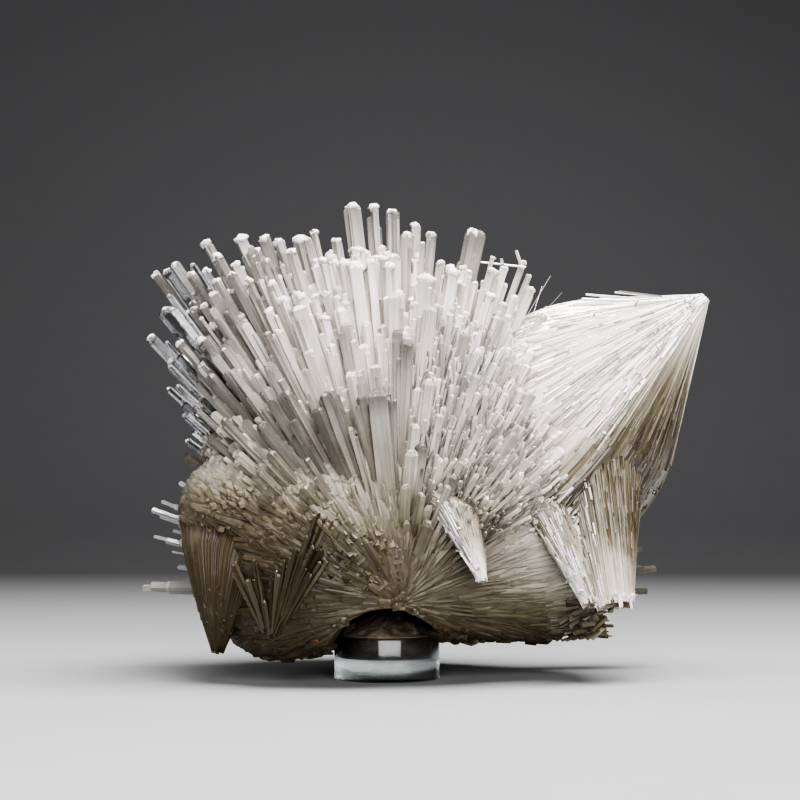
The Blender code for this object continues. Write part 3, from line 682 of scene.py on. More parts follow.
def add_blades(shapes, pole, ends, lengths, widths, lifts, rng, shade):
    """Blades that lie along the mass and fan out from a pole, each from under the surface to a proud end.

    The pole and the ends are unit directions from the spray's middle.
    """
    count = len(ends)
    steps, scales = np.array(BLADE_STEPS).T
    across = unit(np.cross(pole, (0.0, 0.0, 1.0)))
    above = np.cross(across, pole)
    tilt = np.arccos(ends @ pole)
    span = np.minimum(lengths / mass_radius(ends), tilt * 0.95)
    turn = np.arctan2(ends @ above, ends @ across)[:, None]
    turn = turn + rng.normal(scale=0.05, size=(count, 1)) * (1 - steps)
    tilt = (tilt[:, None] - span[:, None] * (1 - steps))[..., None]
    turn = turn[..., None]
    ways = np.sin(tilt) * (np.cos(turn) * across + np.sin(turn) * above) + np.cos(tilt) * pole
    rise = lifts[:, None] * steps - (0.7 + 0.3 * widths[:, None]) * (1 - steps) ** 2
    middle = mass_surface(ways, rise)
    along = unit(np.gradient(middle, axis=1))
    side = unit(np.cross(along, ways))
    up = np.cross(side, along)
    section = np.array(BLADE_SECTION) * rng.uniform(0.85, 1.15, (count, 1, len(BLADE_SECTION), 2))
    size = (widths[:, None] * scales)[..., None]
    x, y = section[..., 0] * size, section[..., 1] * size * rng.uniform(0.35, 0.65, (count, 1, 1))
    points = middle[:, :, None] + side[:, :, None] * x[..., None] + up[:, :, None] * y[..., None]
    floor = lowest(points) + 0.05
    above = (points[..., 2] > floor - 1.0)[:, len(steps) // 2:]
    keep = above.all((1, 2)) & in_box(points).all((1, 2))
    points[..., 2] = np.maximum(points[..., 2], floor)
    own = rng.uniform(0, 400, (count, 1, 1))
    length = np.broadcast_to((lengths[:, None] * steps)[..., None], x.shape)
    grain = np.stack((x + own, y + own, length), -1)
    corners, rows = len(BLADE_SECTION), len(steps)
    fan = np.stack((np.zeros(corners - 2, int), np.arange(1, corners - 1), np.arange(2, corners)), -1)
    faces = np.concatenate((grid_triangles(rows, corners), fan[:, ::-1], fan + (rows - 1) * corners))
    triangles = copies(faces, keep.sum(), rows * corners)
    points, grain = points[keep].reshape(-1, 3), grain[keep].reshape(-1, 3)
    shapes.add(points, triangles, grain, stain_and_shade_at(points), np.repeat(shade[keep], rows * corners))


def make_mass(material):
    """The intergrown crystals of the mass: long blades in front and behind, and short crystals behind."""
    rng = rng_for(2)
    for name, count, pole, low, high in (
        ("front_blades", FRONT_BLADES, FRONT_POLE, -1.0, 0.35),
        ("back_blades", BACK_BLADES, BACK_POLE, 0.2, 1.0),
    ):
        ends = unit(rng.normal(size=(6 * count, 3)))
        y, z = ends[:, 1], ends[:, 2]
        ends = ends[(y > low) & (y < high) & (z > -0.4) & (z < 0.8)][:count]
        left = smoothstep(0.25, -0.25, ends[:, 0])
        widths = 0.35 + (0.8 + 0.8 * left) * rng.uniform(size=count) ** 1.6
        lengths = rng.uniform(8, 20, count)
        shapes = Shapes()
        lifts = (rng.exponential(0.28, count) * (1 - 0.45 * left)).clip(0, 1.5)
        add_blades(shapes, pole, ends, lengths, widths, lifts, rng, rng.uniform(0.25, 0.5, count))
        shapes.piece(name, material)

    shapes = Shapes()
    ends = unit(fibonacci(SHORT_BEHIND, -0.35) + rng.normal(scale=0.02, size=(SHORT_BEHIND, 3)))
    ends = ends[(ends[:, 1] > 0.2) & (ends[:, 2] < 0.85)]
    count = len(ends)
    growth = unit(ends + rng.normal(scale=0.12, size=ends.shape))
    tips = mass_surface(ends) + growth * rng.exponential(1.0, count)[:, None]
    widths = 0.4 + 1.4 * rng.uniform(size=count) ** 2
    keep = (tips[:, 2] > lowest(tips) + 0.2) & in_box(tips)
    roots = tips - growth * rng.uniform(4, 9, count)[:, None]
    add_prisms(shapes, roots[keep], tips[keep], widths[keep], rng, shade=rng.uniform(0.1, 0.6, count)[keep])
    shapes.piece("short_crystals", material)


class Sheaf:
    """One sheaf's surface: rays from a narrow end, bowed outwards, at any place round it and along it."""

    def __init__(
        self, end, radius, bow, rays, arch=0.0, clean=(0.0, 0.22), mixed=(0.45, 0.9), late=0.0, fuse=5.0,
        ripple=0.1, **_
    ):
        self.tip = seen(*end)
        fans, lengths, back, self.ray_stain_and_shade = np.array(rays, float).T
        turns = np.radians(fans)
        self.far = seen(end[0] + np.cos(turns) * lengths, end[1] + np.sin(turns) * lengths, back)
        self.middle = self.far.mean(0)
        self.axis = unit(self.middle - self.tip)
        self.radius, self.bow, self.arch, self.clean, self.mixed = radius, bow, arch, clean, mixed
        self.count, self.fuse, self.late, self.depth = len(rays), fuse, late, ripple

    def ripple(self, around):
        """Brighter and greyer rays by turns, as an addition to the shade."""
        turn = around / self.count * math.tau
        crossed = sum(np.sin(times * turn + times * 1.7) for times in (7, 13, 22, 37, 61))
        return self.depth * (0.5 + 0.4 * crossed).clip(0, 1)

    def stain_and_shade(self, around, along):
        """How brown and dark the surface is: clean at the narrow end, then by ray, then like the rest near
        by.

        The rays' values and the far-end term are partly painted shade.
        """
        turned = (np.floor(around) + smoothstep(0.45, 1.0, around % 1)) % self.count
        value = np.interp(turned, np.arange(self.count + 1), np.append(self.ray_stain_and_shade, self.ray_stain_and_shade[0]))
        # The far-end term is painted shade: the far part of the sheaf is made darker as if shaded.
        value = value * smoothstep(*self.clean, along) + self.late * smoothstep(0.4, 1.0, along)
        return value + (stain_and_shade_at(self.at(around, along)) - value) * 0.85 * smoothstep(*self.mixed, along)

    def at(self, around, along, lift=0.0):
        """Points on the surface: around counts rays, along goes from 0 at the narrow end to 1."""
        first = np.floor(around).astype(int) % self.count
        part = (around - np.floor(around))[..., None]
        place = self.far[first] * (1 - part) + self.far[(first + 1) % self.count] * part
        along = np.asarray(along, float)[..., None]
        straight = self.tip + (place - self.tip) * along
        core = self.tip + (self.middle - self.tip) * along
        swell = 1 + (self.bow - 1) * 4 * along * (1 - along)
        outward = place - self.middle
        outward = unit(outward - (outward @ self.axis)[..., None] * self.axis)
        forward = self.arch * 4 * along * (1 - along) * (0.0, 1.0, 0.0)
        points = core + (straight - core) * swell + outward * (self.radius * (1 - along) + lift) - forward
        away = points - SPRAY_CENTRE
        reach = lengths_of(away)[..., None]
        proud = reach - mass_radius(away / reach)[..., None] + 0.3 - lift
        low = smoothstep(72, 52, points[..., 2:])
        return points - away / reach * np.clip(proud, 0, self.fuse) * smoothstep(0.65, 1.0, along) * low


def make_sheaf(name, sheaf, material, seed):
    """A sheaf: a finely fluted body, and fibres and broken steps laid along it."""
    rng = rng_for(seed)
    form = Sheaf(**sheaf)
    shapes = Shapes()
    rows, columns = BODY_ROWS, form.count * FLUTES_PER_RAY
    around = np.repeat(np.arange(columns)[None] * form.count / columns, rows, 0)
    along = np.repeat(np.linspace(0.0, 1.0, rows)[:, None], columns, 1)
    flute = rng.uniform(-0.35, 0.0, columns)[None] * (0.2 + along)
    lift = flute - 0.05
    points = form.at(around, along, lift[..., None])
    points[0] -= form.axis * rng.uniform(-0.5, 0.35, columns // 6 + 1).repeat(6)[:columns, None] * form.radius
    if "ragged" in sheaf:
        steps = rng.uniform(0, sheaf["ragged"], columns // 5 + 1).repeat(5)[:columns, None]
        points[-1] -= unit(points[-1] - points[-2]) * steps
    points = points.reshape(-1, 3)
    grain = np.stack((around * 4, along * 0, along * 55), -1).reshape(-1, 3)
    stain_and_shade = form.stain_and_shade(around.ravel(), along.ravel())
    shapes.add(points, grid_triangles(rows, columns), grain, stain_and_shade, 0.1 + form.ripple(around.ravel()))
    hub = np.array((form.tip, form.middle + form.axis * 3))
    ends = np.concatenate((points[:columns], points[-columns:], hub))
    shapes.add(ends, cap_triangles(columns, columns, 2 * columns), ends, float(np.mean(stain_and_shade)), 0.2)

    count = sheaf["fibres"]
    around = rng.uniform(0, form.count, count)
    start = np.clip(rng.beta(0.9, 1.6, count) * 0.85 - 0.03, 0, 1)
    spans = rng.uniform(*sheaf.get("spans", (0.15, 0.55)), count)
    stop = np.minimum(start + spans, rng.uniform(0.9, 1.04, count))
    if "long" in sheaf:
        start, stop = rng.uniform(0.12, 0.4, count), rng.uniform(0.8, 1.0, count)
    widths = rng.uniform(*sheaf["width"], count) * (0.35 + 0.65 * stop)
    lift = rng.uniform(-0.3, 0.05, count)
    roots = form.at(around, start, (lift - 0.3)[:, None])
    drift = rng.normal(scale=0.05, size=count)
    tips = form.at((around + drift) % form.count, stop, lift[:, None])
    keep = (lengths_of(tips - roots) > 1.5) & in_box(tips, 0.1) & in_box(roots, 0.1)
    varied = rng.uniform(0.9, 1.08, count)
    stain_and_shade = np.stack([form.stain_and_shade(around, place) * varied for place in (start, stop)], -1)
    add_prisms(
        shapes, roots[keep], tips[keep], widths[keep], rng, flat=(0.4, 0.9), blunt=0.6, stain_and_shade=stain_and_shade[keep],
        shade=(rng.uniform(*sheaf.get("shade", (0.1, 0.4)), count) + form.ripple(around))[keep],
    )
    shapes.piece(name, material)


def make_glints(material):
    """Small clean crystals that catch the light, on the sheaves and over the spray's front at the right."""
    rng = rng_for(17)
    shapes = Shapes()
    for name, first, last, count in GLINTS:
        form = Sheaf(**SHEAVES[name])
        around = rng.uniform(first, last, count) % form.count
        start = rng.uniform(0.02, 0.65, count)
        stop = start + rng.uniform(1.5, 6, count) / np.linalg.norm(form.middle - form.tip)
        roots = form.at(around, start, rng.uniform(-0.25, 0.0, count)[:, None])
        tips = form.at(around, stop, rng.uniform(-0.1, 0.35, count)[:, None])
        keep = in_box(tips) & in_box(roots)
        widths = rng.uniform(0.2, 0.6, count)[keep]
        add_prisms(shapes, roots[keep], tips[keep], widths, rng, flat=(0.3, 0.8), stain_and_shade=0.0)
        tips = roots + unit(rng.normal(size=(count, 3))) * rng.uniform(0.6, 1.5, (count, 1))
        keep &= in_box(tips) & (np.arange(count) % 2 == 0)
        widths = rng.uniform(0.25, 0.6, keep.sum())
        add_prisms(shapes, roots[keep], tips[keep], widths, rng, stain_and_shade=0.0)
    fans, shares = rng.uniform(32, 84, FRONT_GLINTS), rng.uniform(0.34, 0.8, FRONT_GLINTS)
    tips = on_fan(fans, reach_at(fans) * shares, front_depth(shares, rng.uniform(0.78, 0.98, FRONT_GLINTS)))
    tips = tips[in_box(tips)]
    growth = unit(outwards(tips) + rng.normal(scale=0.13, size=tips.shape))
    roots = tips - growth * rng.uniform(4, 12, len(tips))[:, None]
    add_prisms(shapes, roots, tips, 0.3 + 1.1 * rng.uniform(size=len(tips)) ** 2, rng, flat=(0.3, 0.9))
    shapes.piece("glints", material)


def make_sugar(material):
    """Fine milky crystals over the spray's front at the right, and packed ones deep between the long ones."""
    rng = rng_for(37)
    fans, shares = rng.uniform(35, 88, SUGAR), rng.uniform(0.3, 0.8, SUGAR)
    tips = on_fan(fans, reach_at(fans) * shares, front_depth(shares, rng.uniform(0.6, 0.85, SUGAR)))
    roots = roots_of(tips)
    keep = in_box(tips) & (lengths_of(tips - roots) > 3)
    tips, roots = tips[keep], roots[keep]
    shapes = Shapes()
    shade = rng.uniform(0, 0.3, len(tips))
    widths = 0.4 + rng.uniform(size=len(tips)) ** 1.5
    add_prisms(shapes, roots, tips, widths, rng, shade=shade, fade=0.3)
    ways = unit(rng.normal(size=(12 * PACKED, 3)))
    ways = ways[(np.abs(ways[:, 1]) < 0.42) & (ways[:, 2] > 0.45) & (ways[:, 0] > -0.8)][:PACKED]
    reach = core_radius(ways)
    ends = ways * (reach + rng.uniform(0.3, 1.0, len(ways)) * envelope(ways) * 0.1)[:, None] + SPRAY_CENTRE
    starts = SPRAY_CENTRE + ways * (reach - 3)[:, None]
    widths = rng.uniform(1.0, 2.4, len(ways))
    add_prisms(shapes, starts, ends, widths, rng, blunt=0.25, shade=rng.uniform(0, 0.15, len(ways)))
    shapes.piece("fine_crystals", material)


def make_web(material):
    """Crystals that fill the groove between the bright band and the sheaf beside it, along with both."""
    rng = rng_for(43)
    band, right = Sheaf(**SHEAVES["bright_band"]), Sheaf(**SHEAVES["lower_right_sheaf"])
    share, sunk = rng.uniform(0, 1, (WEB, 1)), rng.uniform(0.0, 2.0, (WEB, 1))

    def place(along):
        left = band.at(np.full(WEB, 3.2), along)
        return left + (right.at(np.full(WEB, 0.3), along * 0.9) - left) * share + sunk * (0.0, 1.0, 0.0)

    start = rng.uniform(0.05, 0.8, WEB)
    roots = place(start)
    tips = place(start + rng.uniform(0.1, 0.4, WEB)) + rng.normal(scale=0.5, size=(WEB, 3))
    keep = in_box(tips) & in_box(roots)
    shapes = Shapes()
    stain_and_shade, shade = rng.uniform(0.35, 0.6, WEB), rng.uniform(0.1, 0.7, WEB)
    widths = rng.uniform(0.3, 1.0, WEB)
    add_prisms(
        shapes, roots[keep], tips[keep], widths[keep], rng, blunt=2.0, stain_and_shade=stain_and_shade[keep], shade=shade[keep]
    )
    shapes.piece("web_crystals", material)


def make_rods(material):
    """Straight crystals that leave the front's surface at a low angle and fan out from its foot."""
    rng = rng_for(41)
    tilt, turn = rng.uniform(0.2, 1.25, RODS), np.radians(rng.uniform(25, 165, RODS))
    ways = np.stack((np.sin(tilt) * np.cos(turn), -np.cos(tilt), np.sin(tilt) * np.sin(turn)), -1)
    away = np.stack((np.cos(tilt) * np.cos(turn), np.sin(tilt), np.cos(tilt) * np.sin(turn)), -1)
    growth = unit(away + ways * rng.uniform(-0.12, 0.25, (RODS, 1)) + rng.normal(scale=0.04, size=ways.shape))
    roots = mass_surface(ways, -1.2) - growth * 3
    tips = roots + growth * rng.uniform(9, 24, (RODS, 1))
    grown = rng.uniform(size=RODS) < smoothstep(15, 50, tips[:, 2])
    keep = in_box(tips) & (roots[:, 2] > lowest(roots) + 2) & grown
    shapes = Shapes()
    widths = 0.5 + 1.3 * rng.uniform(size=RODS) ** 1.5
    shade = rng.uniform(0.1, 0.55, RODS) * smoothstep(1.1, 0.7, tilt)
    add_prisms(shapes, roots[keep], tips[keep], widths[keep], rng, blunt=4.0, shade=shade[keep], fade=0.3)
    shapes.piece("rods", material)


def rim_places(rng, count, below, sideways):
    """Places on the mass close above its broken underside, up to so far to either side."""
    ways = unit(rng.normal(size=(count * 60, 3)) * (1, 1, 0.6))
    places = mass_surface(ways)
    height = places[:, 2] - lowest(places)
    near = (height > -0.5) & (height < below) & (np.abs(places[:, 0]) < sideways) & (places[:, 1] < 20)
    return places[near][:count], ways[near][:count]


def make_rubble(material):
    """Short broken crystals along the underside's edge and over the bottom right sheaf's broken end."""
    rng = rng_for(23)
    shapes = Shapes()
    places, ways = rim_places(rng, 700, 1.6, 70)
    growth = unit(ways * (1, 1, 0.4) + rng.normal(scale=0.35, size=places.shape))
    tips = places + growth * rng.uniform(-0.6, 1.1, len(places))[:, None]
    roots = tips - growth * rng.uniform(2, 5, len(places))[:, None]
    stain_and_shade = np.clip(stain_and_shade_at(tips) * rng.uniform(0.7, 1.2, len(tips)), 0, 1.1)
    keep = (np.minimum(tips[:, 2], roots[:, 2]) > lowest(places) + 0.3) & in_box(tips)
    widths = rng.uniform(0.6, 2.2, len(tips))
    shade = rng.uniform(0.2, 0.6, len(tips))
    add_prisms(shapes, roots[keep], tips[keep], widths[keep], rng, stain_and_shade=stain_and_shade[keep], shade=shade[keep])
    form, count = Sheaf(**SHEAVES["bottom_right_sheaf"]), 300
    ends = form.at(rng.uniform(-1.5, 2.0, count) % form.count, rng.uniform(0.9, 0.98, count))
    ends = form.middle + (ends - form.middle) * rng.uniform(0.5, 0.97, (count, 1))
    growth = unit(form.axis + rng.normal(scale=0.3, size=ends.shape))
    tips = ends + growth * rng.uniform(-1.0, 1.5, (count, 1))
    roots = tips - growth * rng.uniform(3, 7, (count, 1))
    keep = in_box(tips) & (np.minimum(tips[:, 2], roots[:, 2]) > lowest(tips) + 0.8)
    widths, stain_and_shade = rng.uniform(0.5, 1.5, count), rng.uniform(0.6, 0.9, count)
    add_prisms(shapes, roots[keep], tips[keep], widths[keep], rng, stain_and_shade=stain_and_shade[keep])
    shapes.piece("rubble", material)


def make_specks(rust, dark):
    """Rust-coloured spots low down beside the putty, and a few dark specks."""
    rng = rng_for(29)
    shapes = Shapes()
    for (across, up), count in RUST_SPOTS:
        ways = outwards(seen(across, up, -24.0))
        ways = unit(ways + rng.normal(scale=(0.06, 0.06, 0.02), size=(count, 3)))
        places = mass_surface(ways, 0.1)
        places[:, 2] = np.maximum(places[:, 2], lowest(places) + 0.4)
        add_frost(shapes, places, ways, rng.uniform(1.2, 3.2, count), rng)
    shapes.piece("rust_spots", rust, smooth=True)
    shapes = Shapes()
    ways = outwards(np.array([seen(across, up, -26.0) for across, up in DARK_SPECKS]))
    add_frost(shapes, mass_surface(ways, 0.5), ways, np.array((1.2, 0.9, 0.9)), rng)
    shapes.piece("dark_specks", dark, smooth=True)


def make_crusts(material):
    """Rough white crusts on the broken ends of the right sheaves."""
    rng = rng_for(19)
    shapes = Shapes()
    for name, count, width in (
        ("upper_right_sheaf", 34, 1.3), ("lower_right_sheaf", 90, 1.7), ("bright_band", 14, 1.0),
    ):
        form = Sheaf(**SHEAVES[name])
        around = rng.uniform(0, form.count, count)
        places = form.at(around, rng.uniform(0.0, 0.03, count), rng.uniform(-0.9, -0.3, count)[:, None])
        places = places + form.axis * 0.6
        axes = unit(rng.normal(size=(count, 3)))
        keep = in_box(places, 0.9)
        add_frost(shapes, places[keep], axes[keep], rng.uniform(0.5, 1.0, count)[keep] * width, rng)
    shapes.piece("crusts", material, smooth=True)


def make_small_spray(material):
    """The little spray of thin see-through crystals at the lower left."""
    rng = rng_for(7)
    root = seen(*SMALL_SPRAY_ROOT)
    across, up = np.array(SMALL_SPRAY_TIPS).T
    tips = seen(across, up, rng.uniform(-0.7, 0.7, len(up)) - 0.12 * across - 31.5)
    tips = np.repeat(tips, 3, 0) + rng.normal(scale=(0.8, 0.3, 0.8), size=(3 * len(tips), 3))
    shapes = Shapes()
    roots = root + (tips - root) * rng.uniform(0.1, 0.35, len(tips))[:, None]
    stain_and_shade, shade = rng.uniform(0.95, 1.25, len(tips)), rng.uniform(0.2, 0.6, len(tips))
    add_prisms(shapes, roots, tips, rng.uniform(0.5, 1.5, len(tips)), rng, stain_and_shade=stain_and_shade, shade=shade)
    shapes.piece("small_spray", material)


def make_needles(material):
    """Stray needles: one across the crown's right side, fine hairs, and tips on the upper right sheaf."""
    rng = rng_for(9)
    lines = (
        ((22.5, 99.8, -2), (33.4, 98.6, 0), 0.5), ((27.4, 100.6, -2), (27.8, 99.0, -2), 0.9),
        ((31.0, 102.6, 2), (32.6, 97.8, 2), 0.7), ((33.0, 86.0, 0), (39.2, 96.5, -4), 0.12),
        ((34.5, 85.5, 2), (37.2, 94.0, 6), 0.12), ((36.5, 86.5, -3), (42.0, 92.5, -6), 0.1),
        ((56.0, 90.6, -1), (46.6, 90.9, -2), 0.6), ((58.0, 91.2, 1), (47.6, 92.0, 1), 0.5),
        ((64.0, 91.6, 0), (54.6, 92.6, 0), 0.5), ((66.0, 91.5, -2), (55.6, 92.8, -2), 0.45),
        ((60.0, 90.8, 3), (51.0, 91.4, 4), 0.5), ((54.0, 90.0, -4), (44.8, 89.4, -6), 0.6),
    )
    roots = np.array([seen(*line[0]) for line in lines])
    tips = np.array([seen(*line[1]) for line in lines])
    shapes = Shapes()
    add_prisms(shapes, roots, tips, np.array([line[2] for line in lines]), rng, stain_and_shade=0.0)
    shapes.piece("needles", material)


def turned(profile, segments, lump=None):
    """Points and triangles of a profile of (radius, height) turned about Z; both its ends lie on the axis."""
    profile = np.array(profile, float)
    turns = np.arange(segments) * math.tau / segments
    ring = profile[1:-1]
    points = np.stack((
        ring[:, None, 0] * np.cos(turns), ring[:, None, 0] * np.sin(turns),
        np.broadcast_to(ring[:, None, 1], (len(ring), segments)),
    ), -1)
    if lump is not None:
        points = lump(points)
    flat = points.reshape(-1, 3)
    ends = np.array(((0, 0, profile[0, 1]), (0, 0, profile[-1, 1])))
    caps = cap_triangles(segments, len(flat) - segments, len(flat))
    return np.concatenate((flat, ends)), np.concatenate((grid_triangles(len(ring), segments), caps))


def make_stand(material):
    """The clear ring, with its softened rims and the ledge inside."""
    inner, edge = STAND_RADIUS - STAND_WALL, 0.25
    profile = [(0, 0), (STAND_RADIUS - edge, 0)]
    profile += [(STAND_RADIUS - edge + edge * math.sin(a), edge - edge * math.cos(a)) for a in (0.5, 1.0)]
    profile += [(STAND_RADIUS, edge), (STAND_RADIUS, 4.4), (STAND_RADIUS, STAND_HEIGHT - edge)]
    profile += [(STAND_RADIUS - edge * 0.3, STAND_HEIGHT - edge * 0.3), (STAND_RADIUS - edge, STAND_HEIGHT)]
    profile += [(inner + edge, STAND_HEIGHT), (inner, STAND_HEIGHT - edge)]
    profile += [(inner, STAND_FLOOR), (0, STAND_FLOOR)]
    points, triangles = turned(profile, RING_SEGMENTS)
    shapes = Shapes()
    shapes.add(points, triangles, points, 0.0, 0.5)
    stand = shapes.piece("clear_ring", material, "acrylic", "clear_stand", smooth=True)
    stand.data.set_sharp_from_angle(angle=math.radians(25))


def make_putty(material):
    """The putty: a plug in the ring, and a pressed, lumpy mound with a crack over its front."""
    plug, rim = STAND_RADIUS - STAND_WALL - GAP, STAND_HEIGHT + GAP
    foot = STAND_FLOOR + GAP
    profile = [(0, foot), (plug, foot), (plug, 7.5), (plug, rim), (PUTTY_RADIUS, rim)]
    for share in np.linspace(0.985, 0.02, 40):
        profile.append((PUTTY_RADIUS * share, float(mound_height(PUTTY_RADIUS * share))))
    profile.append((0, PUTTY_TOP))

    def lump(points):
        x, y, z = np.moveaxis(points, -1, 0)
        top = smoothstep(rim, rim + 1.0, z)
        crack = np.abs(x - 1.5 - 1.6 * np.sin(z * 1.3) - 0.8 * waves(points, 31, 5)) < 0.32
        dent = 0.3 * (0.6 + waves(points, 32, 4.5)) + 0.2 * (0.5 + waves(points, 33, 1.4))
        dent = (dent + 0.6 * crack * (y < 0)).clip(0, 1)
        return np.stack((x, y, z - dent * top), -1)

    points, triangles = turned(profile, MOUND_SEGMENTS, lump)
    shapes = Shapes()
    shapes.add(points, triangles, points, 0.0, 0.5)
    shapes.piece("putty_mound", material, "putty", "putty", smooth=True)


class Nodes:
    """Short ways to make and join a material's nodes."""

    def __init__(self, name):
        self.material = bpy.data.materials.new(name)
        self.material.use_nodes = True
        self.tree = self.material.node_tree
        self.shader = self.tree.nodes["Principled BSDF"]

    def make(self, kind, **values):
        node = self.tree.nodes.new("ShaderNode" + kind)
        for key, value in values.items():
            setattr(node, key, value)
        return node

    def join(self, source, target):
        self.tree.links.new(source, target)

    def attribute(self, name, output):
        return self.make("Attribute", attribute_name=name).outputs[output]

    def noise(self, vector, scale, detail=3.0, rough=0.55):
        node = self.make("TexNoise")
        node.inputs["Scale"].default_value = scale
        node.inputs["Detail"].default_value = detail
        node.inputs["Roughness"].default_value = rough
        self.join(vector, node.inputs["Vector"])
        return node.outputs["Fac"]

    def math(self, operation, *values, clamp=False):
        node = self.make("Math", operation=operation, use_clamp=clamp)
        for socket, value in zip(node.inputs, values):
            if isinstance(value, (int, float)):
                socket.default_value = value
            else:
                self.join(value, socket)
        return node.outputs["Value"]

    def scaled(self, vector, scale):
        node = self.make("VectorMath", operation="MULTIPLY")
        self.join(vector, node.inputs[0])
        node.inputs[1].default_value = scale
        return node.outputs["Vector"]

    def mapped(self, value, low, high, clamp=False):
        """A value of 0 to 1 spread from low to high."""
        return self.math("ADD", low, self.math("MULTIPLY", value, high - low), clamp=clamp)

    def ramp(self, value, stops):
        node = self.make("ValToRGB")
        node.color_ramp.elements.remove(node.color_ramp.elements[0])
        for i, (place, colour) in enumerate(stops):
            element = node.color_ramp.elements[0] if i == 0 else node.color_ramp.elements.new(place)
            element.position = place
            element.color = (*colour, 1.0)
        self.join(value, node.inputs["Fac"])
        return node.outputs["Color"]

    def tinted(self, colour, factor):
        """A colour times a grey value."""
        node = self.make("MixRGB", blend_type="MULTIPLY")
        node.inputs["Fac"].default_value = 1.0
        self.join(colour, node.inputs["Color1"])
        self.join(factor, node.inputs["Color2"])
        return node.outputs["Color"]

    def bump(self, height, strength, distance):
        node = self.make("Bump")
        node.inputs["Strength"].default_value = strength
        node.inputs["Distance"].default_value = distance
        self.join(height, node.inputs["Height"])
        self.join(node.outputs["Normal"], self.shader.inputs["Normal"])

    def set(self, **values):
        for key, value in values.items():
            self.shader.inputs[key.replace("_", " ")].default_value = value

    def link(self, output, key):
        self.join(output, self.shader.inputs[key])


# Crystals' colours over their staining and painted shade, after the white of a clean one; the darkest are
# partly painted shade
CRYSTAL_STAIN_SHADE_STOPS = (
    (0.2, (0.82, 0.76, 0.68)), (0.45, (0.43, 0.383, 0.31)),
    (0.7, (0.155, 0.129, 0.083)), (1.0, (0.055, 0.038, 0.018)),
)
WARM_WHITE, COOL_WHITE = (0.95, 0.885, 0.795), (0.95, 0.92, 0.88)


def crystal_material(
    name, clear, streak, white=WARM_WHITE, roughness=(0.14, 0.34), bump=0.35, soft=0.0, shine=0.5
):
    """Finely striated crystal, browner and darker with its staining and painted shade, and clearer and greyer
    with its shade.
    """
    nodes = Nodes(name)
    grain = nodes.attribute("grain", "Vector")
    streaks = nodes.noise(nodes.scaled(grain, (1.8, 1.8, 0.03)), 1.0, 4.0, 0.65)
    clouds = nodes.noise(nodes.scaled(grain, (0.25, 0.25, 0.12)), 1.0, 2.0)
    shade = nodes.attribute("shade", "Fac")
    stain_and_shade = nodes.attribute("stain_and_shade", "Fac")
    mottled = nodes.math("MULTIPLY", stain_and_shade, nodes.mapped(clouds, 0.6, 1.4), clamp=True)
    colour = nodes.ramp(mottled, ((0.0, white), *CRYSTAL_STAIN_SHADE_STOPS))
    lines = nodes.math("MULTIPLY", nodes.math("SUBTRACT", streaks, 0.36), 4.0, clamp=True)
    grey = nodes.mapped(lines, 1.0 - streak, 1.0)
    # Painted shade: the shade darkens the colour, for dark surroundings seen through clear crystals and for
    # shade on the crystals in front.
    grey = nodes.math("MULTIPLY", grey, nodes.math("SUBTRACT", 1.0, nodes.math("MULTIPLY", shade, 0.6)))
    nodes.link(nodes.tinted(colour, grey), "Base Color")
    nodes.link(nodes.mapped(clouds, *roughness), "Roughness")
    nodes.link(nodes.mapped(shade, *clear, clamp=True), "Transmission Weight")
    nodes.bump(streaks, bump, 0.0004)
    nodes.set(IOR=CRYSTAL_IOR, Specular_IOR_Level=shine)
    nodes.set(Subsurface_Weight=soft, Subsurface_Radius=(1.0, 0.8, 0.55), Subsurface_Scale=0.004)
    return nodes.material


def grained_material(
    name, stretch, detail, rough, colours, bump, distance, roughness=None, clouds=None, **values
):
    """Grainy stuff: one noise sets its bumps, its roughness and its colour, unless clouds set the colour."""
    nodes = Nodes(name)
    place = nodes.attribute("grain", "Vector")
    grains = nodes.noise(nodes.scaled(place, stretch), 1.0, detail, rough)
    tones = nodes.noise(place, *clouds) if clouds else grains
    nodes.link(nodes.ramp(tones, colours), "Base Color")
    if roughness:
        nodes.link(nodes.mapped(grains, *roughness), "Roughness")
    nodes.bump(grains, bump, distance)
    nodes.set(**values)
    return nodes.material


